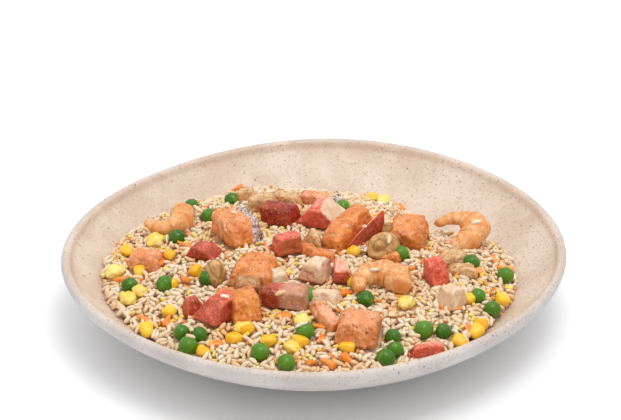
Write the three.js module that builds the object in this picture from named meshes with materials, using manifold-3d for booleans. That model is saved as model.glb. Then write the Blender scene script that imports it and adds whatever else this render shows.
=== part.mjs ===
// Bowl of seafood pilaf: a shallow, hand-thrown stoneware bowl, a mound of rice with peas, sweetcorn,
// carrot and egg in it, and the larger pieces of salmon, crab stick, shrimp, mussel and white fish on it.
// Millimetres, +Z up, +X to the right, +Y away from the viewer, with the origin under the bowl's middle.
import * as THREE from "three";
import { mergeVertices } from "three/addons/utils/BufferGeometryUtils.js";
import Module from "manifold-3d";

const wasm = await Module();
wasm.setup();

// ---- Bowl: driving dimensions ----
const RIM_RADIUS = 132.3; // mean radius of the outline
const WALL = 5;
const FOOT_RADIUS = 62;
const FOOT_WIDTH = 6;
const FOOT_RECESS = 2.5;
const LATHE_SIDES = 54;
// The outline isn't round: each wave has a number of crests, a height in mm and its first crest in degrees.
const RIM_WAVES = [
  [2, 2.9, 32],
  [3, 1.1, -52],
  [4, 1.45, -1],
];
// The outside wall from the foot ring to just below the lip, as radius and height.
const OUTSIDE = [
  [FOOT_RADIUS, FOOT_RECESS],
  [80, 6.5],
  [100, 14.2],
  [112, 20.2],
  [119.5, 24.7],
  [126.5, 30],
  [130.8, 34.5],
  [RIM_RADIUS, 38.6],
];
const WALL_STEPS = [0, 0.27, 0.5, 0.68, 0.82, 0.92, 1]; // where the wall has a ring of points
const LIP_STEPS = [50, 90, 130]; // degrees round the lip, from the inside to the outside
const STEEP = 4; // rise of the wall per mm beyond its last ring

// ---- Rice: driving dimensions ----
const FILL_RADIUS = 108.5; // mean radius at which the rice meets the wall
const FILL_LEAN = [2.5, 2.5]; // the heap lies this much further to the left and towards the viewer
// Where the rice stops short and the wall shows: a share of the radius, a direction and a width in degrees.
const BAYS = [
  [0.17, 41, 19], // behind the salmon
  [0.08, 82, 24], // at the back
];
const CROWN = 40; // height of the middle of the heap
const EDGE_THICKNESS = 3; // a grain or two at the wall
const EDGE_MARGIN = 7; // toppings keep clear of the rice's edge by this much in the plan
const MOUND_POWER = 2.2;
const GRAIN_BUMP = 1.3; // half the thickness of a grain, up or down
const BUMP_SPACING = 5.5;
const UNDERSIDE_SPACING = 18;
const GROUND_SPACING = 8;
const GAP = 0.35; // between touching pieces

// ---- Toppings ----
const FACET = 8.4; // size of the faces on a block of fish
const SETTLE = 0.62; // share of a piece's underside that has sunk into what it lies on
const SHRIMP_SETTLE = 0.3; // a shrimp stands higher, on the edge of its bend
const CELL = 1.5; // step of the height map that pieces are laid on
const MAP_HALF = 144;

// name, form, [x, y], [length, width, height], [turn, pitch, roll] in degrees; the lowest pieces come first.
const TOPPINGS = [
  ["salmon_1", "salmon", [-32, -31], [28, 26, 10], [-12, 0, 4]],
  ["salmon_2", "salmon", [-44, 14], [30, 23, 15], [-56, 0, -10]],
  ["salmon_3", "salmon", [21, -82.5], [26, 23, 14], [-8, 0, 8]],
  ["salmon_4", "salmon", [50, 12.5], [24, 21, 13], [76, -6, 0]],
  ["salmon_5", "salmon", [-91, -9], [20, 19, 9], [-20, 0, 6]],
  ["salmon_6", "salmon", [4, 61], [27, 12, 9], [-12, 0, 0]],
  ["salmon_7", "salmon", [-37, -64], [17, 19, 14], [20, 0, 0]],
  ["salmon_8", "salmon", [16, 11], [40, 14, 13], [58, -8, 0]],
  ["salmon_9", "salmon", [-47, -52], [12, 10, 9], [10, 0, 0]],
  ["salmon_10", "salmon", [4, -70], [24, 8, 7], [-60, 6, 0]],
  ["shrimp_1", "shrimp", [-79, 32], [20, 30, 13], [-48, 4, 184]],
  ["shrimp_2", "shrimp", [81.5, 22], [29, 27, 13], [20, -10, 26]],
  ["shrimp_3", "shrimp", [33, -39.5], [24, 32, 15], [100, 0, 0]],
  ["fish_1", "fish", [-30, 51], [20, 16, 10], [8, 0, 0]],
  ["fish_2", "fish", [-40, 67], [10, 11, 10], [0, 0, 0]],
  ["fish_3", "fish", [73, -5], [18, 12, 7], [15, 0, 0]],
  ["fish_4", "fish", [77, -17], [19, 10, 6], [-5, 0, 0]],
  ["fish_5", "fish", [-17, 62], [23, 12, 9], [-10, 0, 0]],
  ["mussel_1", "mussel", [-53, -30], [17, 11, 15], [-75, 0, 0]],
  ["mussel_3", "mussel", [40, 21], [10, 8, 8], [10, 0, 0]],
  ["mussel_2", "mussel", [36, -6], [19, 14, 16], [45, 0, -20]],
  ["crab_stick_1", "crab", [-20, 31], [18, 16, 12], [-18, 0, 0]],
  ["crab_stick_2", "roof", [3, 28], [34, 20, 16], [-14, 0, 0]],
  ["crab_stick_3", "crab", [-16, -5], [15, 16, 12], [30, 0, -8]],
  ["crab_stick_4", "crab", [-60, -6], [19, 14, 8], [-25, 0, 0]],
  ["crab_stick_5", "crab", [-64, -57], [12, 11, 9], [40, 0, 0]],
  ["crab_stick_6", "crab", [-49, -65], [16, 17, 13], [-38, 0, 0]],
  ["crab_stick_7", "crab", [-15, -57], [24, 14, 11], [-14, 0, 0]],
  ["crab_stick_8", "crab", [62, -29], [11, 11, 18], [42, 0, 0]],
  ["crab_stick_9", "crab", [55, -89], [19, 9, 7], [18, 0, 0]],
  ["crab_stick_10", "crab", [70, -47], [12, 14, 11], [-40, 0, 0]],
  ["crab_stick_11", "crab", [0, -33], [15, 16, 12], [-22, 0, 0]],
  ["crab_stick_12", "crab", [4, -54.5], [19, 12, 8], [-12, 0, 0]],
  ["crab_stick_13", "crab", [13, -32.5], [10, 17, 11], [10, 0, 0]],
  ["crab_stick_14", "crab", [-20, -36], [13, 10, 8], [25, 0, 0]],
  ["salmon_11", "salmon", [0, -11], [24, 6, 5], [-37, 0, 0]],
  ["salmon_12", "salmon", [39, -13], [12, 8, 6], [20, 0, 0]],
  ["fish_6", "fish", [-35.5, -46.5], [16, 17, 11], [-10, 0, 0]],
  ["fish_7", "fish", [-1.5, 3], [15, 10, 8], [-15, 0, 0]],
  ["crab_stick_15", "crab", [25, 8], [37, 5, 19], [50, -16, 24]],
];

// ---- Small things in the rice: [x, y] of each, where one shows ----
const PEA_RADIUS = 4.6;
const PEAS = [
  [-60, 42], [-48, 66], [15, 51], [-57, -33], [-98, -32], [-68, -78], [-59, -81], [-64, -89], [-28, -97],
  [-15, -105], [-6, -82], [25, -54], [45, -8], [38, -83], [39, -92], [34, -99], [54, -75], [64, -74],
  [91, -49], [84, -40], [101, -14], [-76, 15], [-4, -53], [-71, 64], [-79, -35], [83, -8],
];
const KERNEL = [8.6, 7.2, 5.6]; // a sweetcorn kernel
const KERNELS = [
  [-94, -18], [-76, -34], [-75, -59], [-86, -72], [-56, -93], [-35, -79], [-41, -85], [-24, -88], [-8, -89],
  [19, -38], [20, -8], [97, -37], [84, -62], [81, -69], [72, -79], [80, -42], [15, -92], [-103, 8],
  [-79, -4], [-64, -24],
];
const EGG = [10, 8, 6]; // a crumb of scrambled egg
const EGG_CRUMBS = [
  [33, 83], [39, 79], [-92, -38], [-98, -43], [-107, -15], [-88, 16], [-7, -73], [46, -54], [-37, -77],
  [-12, -93],
];
const SHRED = [6.5, 3.4, 2.6]; // a shred of carrot
const SHREDS = [
  [-104, -22], [-88, -62], [-76, -66], [-68, -30], [-71, 7], [-51, -88], [-35, -71], [-17, -68], [1, -77],
  [2, -87], [-2, -103], [5, -103], [49, -20], [43, -49], [16, -48], [49, 77], [97, 2], [101, -5], [84, -14],
  [77, -67], [15, -100], [72, -52], [-83, -11], [-46, 96],
];
const SUNK = 0.3; // share of a small thing's height that is in the rice
const NUDGES = [0, 1.5, 3]; // a small thing moves this far to stay clear of a topping

const COLOURS = {
  bowl: 0xe6d6c6,
  rice: 0xe9e0c8,
  salmon: 0xe8965c,
  shrimp: 0xe9b47c,
  fish: 0xdcc39a,
  mussel: 0xc4a67c,
  crab: 0xd2585a,
  roof: 0xd2585a,
};

const radians = THREE.MathUtils.degToRad;
const { smoothstep, lerp } = THREE.MathUtils;

/** Seeded random numbers from 0 to 1, so that each build gives the same heap. */
function seededRandom(seed) {
  let state = seed;
  return () => {
    state = (state + 0x6d2b79f5) | 0;
    let t = Math.imul(state ^ (state >>> 15), 1 | state);
    t = (t + Math.imul(t ^ (t >>> 7), 61 | t)) ^ t;
    return ((t ^ (t >>> 14)) >>> 0) / 4294967296;
  };
}

/** A geometry with positions only and its shared vertices merged, ready to become a solid. */
function closed(geometry) {
  const bare = geometry.clone();
  bare.deleteAttribute("normal");
  bare.deleteAttribute("uv");
  return mergeVertices(bare, 1e-4);
}

function toSolid(geometry) {
  return new wasm.Manifold(
    new wasm.Mesh({
      numProp: 3,
      vertProperties: new Float32Array(geometry.attributes.position.array),
      triVerts: new Uint32Array(geometry.index.array),
    }),
  );
}

function toGeometry(solid) {
  const mesh = solid.getMesh();
  return new THREE.BufferGeometry()
    .setAttribute("position", new THREE.BufferAttribute(new Float32Array(mesh.vertProperties), 3))
    .setIndex(new THREE.BufferAttribute(new Uint32Array(mesh.triVerts), 1));
}

/** Calls change(vertex) on each vertex of a geometry and keeps what it makes of it. */
function moveVertices(geometry, change) {
  const positions = geometry.attributes.position;
  const vertex = new THREE.Vector3();
  for (let i = 0; i < positions.count; i++) {
    vertex.fromBufferAttribute(positions, i);
    change(vertex);
    positions.setXYZ(i, vertex.x, vertex.y, vertex.z);
  }
  return geometry;
}

// ---------------------------------------------------------------- bowl

/** The outline's radius in a direction, as a share of its mean. */
function outlineShare(angle) {
  const waves = RIM_WAVES.map(([crests, height, first]) => height * Math.cos(crests * (angle - radians(first))));
  return 1 + waves.reduce((sum, wave) => sum + wave, 0) / RIM_RADIUS;
}

/** How much of the outline's waviness there is at a radius: none at the foot, all at the rim. */
function waviness(radius, angle) {
  return 1 + (outlineShare(angle) - 1) * smoothstep(radius, FOOT_RADIUS, RIM_RADIUS);
}

const outside = new THREE.SplineCurve(OUTSIDE.map(([r, z]) => new THREE.Vector2(r, z)));

/** A point of the wall: its outside at depth 0, its inside at depth WALL. */
function wallPoint(share, depth) {
  const along = outside.getTangentAt(share);
  const inward = new THREE.Vector2(-along.y, along.x);
  return outside.getPointAt(share).addScaledVector(inward, depth);
}

/** The lip: a half round from the inside of the wall, over the top, to its outside. */
function lipPoints() {
  const along = outside.getTangentAt(1);
  const middle = wallPoint(1, WALL / 2);
  const inward = new THREE.Vector2(-along.y, along.x);
  return LIP_STEPS.map((degrees) =>
    middle
      .clone()
      .addScaledVector(inward, (WALL / 2) * Math.cos(radians(degrees)))
      .addScaledVector(along, (WALL / 2) * Math.sin(radians(degrees))),
  );
}

const insideWall = WALL_STEPS.map((share) => wallPoint(share, WALL));
const FLOOR = insideWall[0].y;

function bowlProfile() {
  const point = (r, z) => new THREE.Vector2(r, z);
  return [
    point(0, FLOOR),
    ...insideWall,
    ...lipPoints(),
    ...WALL_STEPS.map((share) => wallPoint(share, 0)).reverse(),
    point(FOOT_RADIUS - 1, 0),
    point(FOOT_RADIUS - FOOT_WIDTH, 0),
    point(FOOT_RADIUS - FOOT_WIDTH - 1, FOOT_RECESS),
    point(0, FOOT_RECESS),
  ];
}

function bowlGeometry() {
  const round = new THREE.LatheGeometry(bowlProfile().reverse(), LATHE_SIDES).rotateX(Math.PI / 2);
  return moveVertices(closed(round), (v) => {
    const share = waviness(Math.hypot(v.x, v.y), Math.atan2(v.y, v.x));
    v.x *= share;
    v.y *= share;
  });
}

/** Height of the bowl's inside above a point of the plan. */
function insideHeight(x, y) {
  const angle = Math.atan2(y, x);
  const reach = Math.hypot(x, y);
  const radius = reach / waviness(reach / outlineShare(angle), angle);
  if (radius <= insideWall[0].x) return FLOOR;
  for (let i = 1; i < insideWall.length; i++) {
    const [low, high] = [insideWall[i - 1], insideWall[i]];
    if (radius <= high.x) return lerp(low.y, high.y, (radius - low.x) / (high.x - low.x));
  }
  return insideWall.at(-1).y + (radius - insideWall.at(-1).x) * STEEP;
}

// ---------------------------------------------------------------- rice

/** How far from the middle the rice reaches in a direction. */
function fillRadius(angle) {
  const lean = FILL_LEAN[0] * Math.cos(angle) + FILL_LEAN[1] * Math.sin(angle);
  const full = FILL_RADIUS * outlineShare(angle) - lean;
  return BAYS.reduce((reach, [depth, at, width]) => {
    const off = (angle - radians(at)) / radians(width);
    return reach * (1 - depth * Math.exp(-(off ** 2)));
  }, full);
}

/** Height of the bare heap: a dome from the crown down to a thin edge on the wall. */
function heapHeight(x, y) {
  const angle = Math.atan2(y, x);
  const reach = fillRadius(angle);
  const share = Math.min(1, Math.hypot(x, y) / reach);
  const edge = insideHeight(reach * Math.cos(angle), reach * Math.sin(angle)) + GAP + EDGE_THICKNESS;
  return edge + (CROWN - edge) * (1 - share ** MOUND_POWER);
}

/** Height of what a piece is laid on: the heap and a little beyond its edge, or the bare wall further out. */
function groundHeight(x, y) {
  const wall = insideHeight(x, y);
  const nearHeap = Math.hypot(x, y) < fillRadius(Math.atan2(y, x)) + EDGE_MARGIN;
  return nearHeap ? Math.max(heapHeight(x, y), wall) : wall;
}

/** A ring of points: `place(angle)` gives each one. The first may be turned, so that rings don't line up. */
function ring(count, turn, place) {
  return Array.from({ length: count }, (_, k) => ({
    at: (k + turn) / count,
    point: place((2 * Math.PI * (k + turn)) / count),
  }));
}

/** Joins rings of points, from one pole to the other, into a closed surface of triangles. */
function skin(rings) {
  const points = rings.flat();
  const starts = rings.map((_, i) => rings.slice(0, i).reduce((sum, r) => sum + r.length, 0));
  const faces = [];
  for (let i = 1; i < rings.length; i++) {
    const [inner, outer] = [rings[i - 1], rings[i]];
    const index = (which, k) => starts[which] + (k % rings[which].length);
    const next = (r, k) => (r.length === 1 ? Infinity : r[(k + 1) % r.length].at + Math.floor((k + 1) / r.length));
    const steps = (r) => (r.length === 1 ? 0 : r.length);
    let [a, b] = [0, 0];
    while (a < steps(inner) || b < steps(outer)) {
      const moveOuter = b < steps(outer) && (a >= steps(inner) || next(outer, b) <= next(inner, a));
      const corner = moveOuter ? index(i, b + 1) : index(i - 1, a + 1);
      faces.push(index(i - 1, a), index(i, b), corner);
      if (moveOuter) b++;
      else a++;
    }
  }
  const positions = new Float32Array(points.flatMap(({ point }) => point.toArray()));
  return new THREE.BufferGeometry()
    .setAttribute("position", new THREE.BufferAttribute(positions, 3))
    .setIndex(faces);
}

/** The rings of a disc whose edge is at reach(angle), from the middle out, with points about `spacing` apart. */
function discRings(spacing, reach, place) {
  const count = Math.round(FILL_RADIUS / spacing);
  const rings = [ring(1, 0, () => place(0, 0))];
  for (let i = 1; i <= count; i++) {
    const share = i / count;
    const points = Math.max(6, Math.round((2 * Math.PI * FILL_RADIUS * share) / spacing));
    const turn = (i % 2) / 2;
    rings.push(ring(points, turn, (angle) => place(share * reach(angle), angle)));
  }
  return rings;
}

/** The closed solid between a heap's top, given by height(x, y), and the bowl's inside. */
function heapGeometry(spacing, height, random) {
  const jitter = () => (random() - 0.5) * 0.45 * spacing;
  const point = (radius, angle, z) => new THREE.Vector3(radius * Math.cos(angle), radius * Math.sin(angle), z);
  const top = discRings(spacing, (angle) => fillRadius(angle) - EDGE_THICKNESS / 2, (radius, angle) => {
    const moved = radius > 0 && radius < FILL_RADIUS * 0.95 ? radius + jitter() : radius;
    const p = point(moved, angle, 0);
    return p.setZ(height(p.x, p.y));
  });
  const underside = discRings(UNDERSIDE_SPACING, fillRadius, (radius, angle) => {
    const p = point(radius, angle, 0);
    return p.setZ(insideHeight(p.x, p.y) + 2 * GAP);
  }).reverse();
  return skin([...top, ...underside]);
}

/** Everything below the bare heap and the bowl's wall, a gap higher, which is cut from what lies on them. */
function groundSolid() {
  const reach = (angle) => (RIM_RADIUS - WALL) * outlineShare(angle);
  const top = discRings(GROUND_SPACING, reach, (radius, angle) => {
    const [x, y] = [radius * Math.cos(angle), radius * Math.sin(angle)];
    return new THREE.Vector3(x, y, groundHeight(x, y) + GAP);
  });
  const below = (at) => new THREE.Vector3(at.x, at.y, -10);
  const wall = top.at(-1).map(({ at, point }) => ({ at, point: below(point) }));
  return toSolid(skin([...top, wall, ring(1, 0, () => new THREE.Vector3(0, 0, -10))]));
}

// ---------------------------------------------------------------- forms of the toppings

/** A closed block with faces about `facet` wide. A low squareness rounds it towards an ellipsoid. */
function roundedBlock([length, width, height], squareness, facet) {
  const steps = [length, width, height].map((side) => Math.max(1, Math.round(side / facet)));
  return moveVertices(closed(new THREE.BoxGeometry(2, 2, 2, ...steps)), (v) => {
    const norm = [v.x, v.y, v.z].reduce((sum, c) => sum + Math.abs(c) ** squareness, 0) ** (1 / squareness);
    v.divideScalar(norm).multiply(new THREE.Vector3(length / 2, width / 2, height / 2));
  });
}

/** Salmon: a rounded block whose flakes step across it on a slant, with torn ends. */
function salmonForm(size, random) {
  const FLAKE = 9;
  const STEP = 0.9;
  const phase = random();
  return moveVertices(roundedBlock(size, 4.5, FACET), (v) => {
    const across = (v.x + 0.35 * v.y) / FLAKE + phase;
    const flake = STEP * (across - Math.floor(across) - 0.5);
    v.multiplyScalar(1 + flake / 10 + (random() - 0.5) * 0.1);
    v.z += flake;
  });
}

/** Crab stick: a piece cut on a slant, its skin side slightly bowed. */
function crabForm(size, random) {
  const slant = (random() - 0.5) * 0.5;
  const [, width, height] = size;
  return moveVertices(roundedBlock(size, 8, FACET), (v) => {
    v.x += slant * v.y;
    v.z -= (0.5 * height * (v.y / width) ** 2 * Math.sign(v.z)) / 2;
    v.multiplyScalar(1 + (random() - 0.5) * 0.05);
  });
}

/** A crab stick piece that stands on its side, so that skin and cut face slope like a roof. */
function roofForm(size, random) {
  const RIDGE_SHARE = 0.3;
  return moveVertices(crabForm(size, random), (v) => {
    const rise = v.z / size[2] + 0.5;
    v.x *= lerp(1, RIDGE_SHARE, rise);
  });
}

/** White fish: an irregular flat-topped flake. */
function fishForm(size, random) {
  return moveVertices(roundedBlock(size, 4, FACET), (v) => {
    v.multiplyScalar(1 + (random() - 0.5) * 0.16);
  });
}

/** Mussel meat: an oval with a lip that runs round it. */
function musselForm([length, width, height]) {
  return moveVertices(closed(new THREE.SphereGeometry(1, 10, 8).rotateX(Math.PI / 2)), (v) => {
    const ridge = 1 + 0.08 * Math.cos(9 * v.z);
    v.multiply(new THREE.Vector3((length / 2) * ridge, (width / 2) * ridge, height / 2));
  });
}

/** Moves a geometry to the origin and stretches it to a size. */
function fitted(geometry, size) {
  geometry.center();
  const now = new THREE.Box3().setFromBufferAttribute(geometry.attributes.position).getSize(new THREE.Vector3());
  return geometry.scale(size[0] / now.x, size[1] / now.y, size[2] / now.z);
}

/** Shrimp: a tail bent round an arc, thick at the cut end, ribbed by its segments and thin at the tip. */
function shrimpForm(size) {
  const SWEEP = radians(225);
  const RIBS = 5;
  const THICKNESS = 0.6; // half of it, as a share of the bend's radius
  const tube = closed(new THREE.CylinderGeometry(1, 1, 1, 8, 10));
  const bent = moveVertices(tube, (v) => {
    const along = v.y + 0.5;
    const taper = lerp(1, 0.42, smoothstep(along, 0.3, 1)) * lerp(0.72, 1, smoothstep(along, 0, 0.2));
    const thick = THICKNESS * taper * (1 + 0.07 * Math.cos(2 * Math.PI * RIBS * along));
    const angle = SWEEP * (along - 0.5);
    const reach = 1 + v.x * thick;
    v.set(reach * Math.cos(angle), reach * Math.sin(angle), v.z * thick);
  });
  return fitted(bent, size);
}

const FORMS = {
  salmon: salmonForm,
  crab: crabForm,
  roof: roofForm,
  fish: fishForm,
  mussel: musselForm,
  shrimp: shrimpForm,
};

// ---------------------------------------------------------------- laying the toppings

const mapSide = Math.ceil((2 * MAP_HALF) / CELL);
const cellMiddle = (index) => (index + 0.5) * CELL - MAP_HALF;

/** The height of what lies below, over a grid of cells. */
function newHeightMap() {
  const heights = new Float32Array(mapSide * mapSide);
  for (let i = 0; i < heights.length; i++)
    heights[i] = groundHeight(cellMiddle(i % mapSide), cellMiddle(Math.floor(i / mapSide)));
  return heights;
}

/** Calls visit(cell, z) for each cell that a triangle of the geometry lies over. */
function eachCell(geometry, visit) {
  const triangle = new THREE.Triangle();
  const weights = new THREE.Vector3();
  const corner = (i) => new THREE.Vector3().fromBufferAttribute(geometry.attributes.position, geometry.index.getX(i));
  const cellOf = (value) => Math.floor((value + MAP_HALF) / CELL);
  for (let i = 0; i < geometry.index.count; i += 3) {
    const corners = [corner(i), corner(i + 1), corner(i + 2)];
    const flat = corners.map((c) => new THREE.Vector3(c.x, c.y, 0));
    triangle.set(...flat);
    if (triangle.getArea() < 1e-6) continue;
    const box = new THREE.Box3().setFromPoints(flat);
    for (let row = cellOf(box.min.y); row <= cellOf(box.max.y); row++)
      for (let column = cellOf(box.min.x); column <= cellOf(box.max.x); column++) {
        triangle.getBarycoord(new THREE.Vector3(cellMiddle(column), cellMiddle(row), 0), weights);
        if (Math.min(weights.x, weights.y, weights.z) < -1e-6) continue;
        const z = weights.x * corners[0].z + weights.y * corners[1].z + weights.z * corners[2].z;
        visit(row * mapSide + column, z);
      }
  }
}

/** Lowers a geometry onto the height map until a share of its underside would be in what it lies on. */
function lay(geometry, heights, settle) {
  const [top, bottom] = [new Map(), new Map()];
  eachCell(geometry, (cell, z) => {
    top.set(cell, Math.max(z, top.get(cell) ?? -Infinity));
    bottom.set(cell, Math.min(z, bottom.get(cell) ?? Infinity));
  });
  const needs = [...bottom].map(([cell, z]) => heights[cell] - z).sort((a, b) => a - b);
  const lift = needs[Math.floor((1 - settle) * (needs.length - 1))];
  geometry.translate(0, 0, lift);
  for (const [cell, z] of top) heights[cell] = Math.max(heights[cell], z + lift);
  return [...top.keys()];
}

/** A copy whose faces stand a gap further out. */
function grown(geometry) {
  const copy = geometry.clone();
  copy.computeVertexNormals();
  const normals = copy.attributes.normal;
  const positions = copy.attributes.position;
  for (let i = 0; i < positions.count; i++)
    positions.setXYZ(
      i,
      positions.getX(i) + GAP * normals.getX(i),
      positions.getY(i) + GAP * normals.getY(i),
      positions.getZ(i) + GAP * normals.getZ(i),
    );
  copy.deleteAttribute("normal");
  return copy;
}

/** The largest body of a solid that a cut may have left in pieces. */
function largestBody(solid) {
  return solid.decompose().reduce((best, body) => (body.volume() > best.volume() ? body : best));
}

/** Lays every topping, cuts it to what it lies on, and marks the cells of the heap that it covers. */
function layToppings() {
  const heights = newHeightMap();
  const ground = groundSolid();
  const covered = new Set();
  const laid = [];
  TOPPINGS.forEach(([name, form, [x, y], size, [turn, pitch, roll]], i) => {
    const geometry = FORMS[form](size, seededRandom(i + 1));
    const rotation = new THREE.Euler(radians(roll), radians(pitch), radians(turn), "ZYX");
    geometry.applyMatrix4(new THREE.Matrix4().makeRotationFromEuler(rotation)).translate(x, y, 0);
    const settle = form === "shrimp" ? SHRIMP_SETTLE : SETTLE;
    for (const cell of lay(geometry, heights, settle)) covered.add(cell);
    const box = new THREE.Box3().setFromBufferAttribute(geometry.attributes.position);
    let solid = toSolid(geometry).subtract(ground);
    for (const below of laid) if (below.box.intersectsBox(box)) solid = solid.subtract(below.grown);
    const wide = grown(geometry);
    laid.push({ name, form, box: box.expandByScalar(GAP), grown: toSolid(wide), solid: largestBody(solid) });
  });
  return { laid, covered };
}

// ---------------------------------------------------------------- small things in the rice

function pea(random) {
  return closed(new THREE.SphereGeometry(PEA_RADIUS * lerp(0.92, 1.06, random()), 7, 5).rotateX(Math.PI / 2));
}

/** A kernel narrows towards the end that sat on the cob. */
function kernel(random) {
  const [length, width, height] = KERNEL;
  return moveVertices(closed(new THREE.OctahedronGeometry(1, 1)), (v) => {
    const narrow = lerp(1.1, 0.75, (v.x + 1) / 2);
    v.multiply(new THREE.Vector3(length / 2, (width / 2) * narrow, (height / 2) * narrow));
  }).applyMatrix4(new THREE.Matrix4().makeRotationZ(2 * Math.PI * random()));
}

function eggCrumb(random) {
  return moveVertices(closed(new THREE.OctahedronGeometry(1, 1)), (v) => {
    v.multiplyScalar(lerp(0.8, 1.15, random())).multiply(new THREE.Vector3(...EGG).multiplyScalar(0.5));
  }).applyMatrix4(new THREE.Matrix4().makeRotationZ(2 * Math.PI * random()));
}

function shred(random) {
  const size = SHRED.map((side) => side * lerp(0.75, 1.25, random()));
  const turn = new THREE.Euler(0.4 * random(), 0.4 * random(), 2 * Math.PI * random(), "ZYX");
  return closed(new THREE.BoxGeometry(...size)).applyMatrix4(new THREE.Matrix4().makeRotationFromEuler(turn));
}

/** Whether a small thing keeps clear of the bowl's wall. */
function clearOfWall(geometry) {
  const positions = geometry.attributes.position;
  for (let i = 0; i < positions.count; i++) {
    const floor = insideHeight(positions.getX(i), positions.getY(i)) + 2 * GAP;
    if (positions.getZ(i) < floor) return false;
  }
  return true;
}

/** The places tried for a small thing: its own, and then round about, nearest first. */
function placesNear([x, y]) {
  return NUDGES.flatMap((distance) =>
    Array.from({ length: distance === 0 ? 1 : 6 }, (_, k) => {
      const angle = (k * Math.PI) / 3;
      return [x + distance * Math.cos(angle), y + distance * Math.sin(angle)];
    }),
  );
}

/** Fuses the small things to the heap, leaving out what finds no room beside the toppings. */
function withSmallThings(heap, laid) {
  const random = seededRandom(77);
  const obstacles = laid.map((topping) => topping.grown).reduce((all, solid) => all.add(solid));
  const kinds = [
    [pea, PEAS],
    [kernel, KERNELS],
    [eggCrumb, EGG_CRUMBS],
    [shred, SHREDS],
  ];
  let solid = heap;
  for (const [make, places] of kinds)
    for (const place of places) {
      const thing = make(random);
      const box = new THREE.Box3().setFromBufferAttribute(thing.attributes.position);
      const rise = (box.max.z - box.min.z) * (0.5 - SUNK);
      for (const [x, y] of placesNear(place)) {
        const here = thing.clone().translate(x, y, heapHeight(x, y) + rise);
        if (!clearOfWall(here)) continue;
        const body = toSolid(here);
        if (!obstacles.intersect(body).isEmpty()) continue;
        solid = solid.add(body);
        break;
      }
    }
  return largestBody(solid);
}

/** The heap with a bump for each grain, flat where a topping lies on it. */
function riceSolid(covered) {
  const random = seededRandom(5);
  const reach = Math.ceil(BUMP_SPACING / CELL);
  const cellOf = (value) => Math.floor((value + MAP_HALF) / CELL);
  const isCovered = (x, y) => {
    for (let row = -reach; row <= reach; row++)
      for (let column = -reach; column <= reach; column++)
        if (covered.has((cellOf(y) + row) * mapSide + cellOf(x) + column)) return true;
    return false;
  };
  const height = (x, y) => {
    const bump = (2 * random() - 1) * GRAIN_BUMP;
    return heapHeight(x, y) + (isCovered(x, y) ? Math.min(bump, -0.1) : bump);
  };
  return toSolid(heapGeometry(BUMP_SPACING, height, random));
}

// ---------------------------------------------------------------- assembly

function piece(name, geometry, colour, roughness) {
  const material = new THREE.MeshStandardMaterial({ color: colour, roughness, metalness: 0 });
  const mesh = new THREE.Mesh(geometry, material);
  mesh.name = name;
  return mesh;
}

/** The group whose origin is under the middle of the bowl's outline. */
function pilafBowl() {
  const bowl = bowlGeometry();
  const middle = new THREE.Box3().setFromBufferAttribute(bowl.attributes.position).getCenter(new THREE.Vector3());
  const group = new THREE.Group();
  const { laid, covered } = layToppings();
  const rice = withSmallThings(riceSolid(covered), laid);
  group.add(piece("bowl", bowl, COLOURS.bowl, 0.45));
  group.add(piece("rice", toGeometry(rice), COLOURS.rice, 0.6));
  for (const { name, form, solid } of laid) group.add(piece(name, toGeometry(solid), COLOURS[form], 0.5));
  for (const mesh of group.children) mesh.position.set(-middle.x, -middle.y, 0);
  return group;
}

export default pilafBowl();
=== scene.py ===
# %% [markdown]
# # Bowl of seafood pilaf
# A wide, shallow stoneware bowl holds a low heap of rice with peas, sweetcorn, carrot and scrambled egg.
# Pieces of salmon, crab stick, shrimp, mussel and white fish lie on the heap.
# The solids of the model come first. Each is then replaced by a finer piece of the same form and place,
# and the heap of rice is replaced by a core with thousands of grains laid on it one by one.

# %% Load the solids
import math

import bmesh
import bpy
import numpy as np
from mathutils import Euler, Matrix, Vector, noise
from mathutils.bvhtree import BVHTree


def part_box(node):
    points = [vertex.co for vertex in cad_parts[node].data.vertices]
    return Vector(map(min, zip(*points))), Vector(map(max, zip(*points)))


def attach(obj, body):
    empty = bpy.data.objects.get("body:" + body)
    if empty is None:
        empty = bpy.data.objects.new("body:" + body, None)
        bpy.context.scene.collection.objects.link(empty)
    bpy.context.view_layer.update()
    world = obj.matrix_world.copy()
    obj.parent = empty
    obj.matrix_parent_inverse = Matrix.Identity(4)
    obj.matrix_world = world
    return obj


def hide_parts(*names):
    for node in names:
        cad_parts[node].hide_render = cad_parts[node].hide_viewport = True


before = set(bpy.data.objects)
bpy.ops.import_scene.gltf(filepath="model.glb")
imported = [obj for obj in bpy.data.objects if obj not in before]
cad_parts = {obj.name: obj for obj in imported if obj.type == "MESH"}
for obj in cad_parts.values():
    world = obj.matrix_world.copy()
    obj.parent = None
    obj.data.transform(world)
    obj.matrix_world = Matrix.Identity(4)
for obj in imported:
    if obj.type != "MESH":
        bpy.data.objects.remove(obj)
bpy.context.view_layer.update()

# %% [markdown]
# ## Camera and light
# The bowl stands on a white table under soft light, seen from 29 degrees above the table with a long lens.
# A real studio hangs a large softbox above the dish and lets the white table and walls throw light back.
# A small softbox gives the highlights, a very wide sun from above stands for the lit ceiling, and a white world
# for the walls. The bowl then shades the table below its own rim, most of all in front.

# %% Camera
MM = 0.001
EYE = Vector((-2.1, -870.6, 513.5)) * MM
AIM = Vector((-2.1, -0.4, 61.5)) * MM
camera_data = bpy.data.cameras.new("camera")
camera_data.sensor_width = 36
camera_data.lens = 106.7
camera = bpy.data.objects.new("camera", camera_data)
camera.location = EYE
camera.rotation_euler = (AIM - EYE).to_track_quat("-Z", "Y").to_euler()
bpy.context.collection.objects.link(camera)
bpy.context.scene.camera = camera
print("camera to bowl:", round((AIM - EYE).length, 3), "m")


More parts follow.
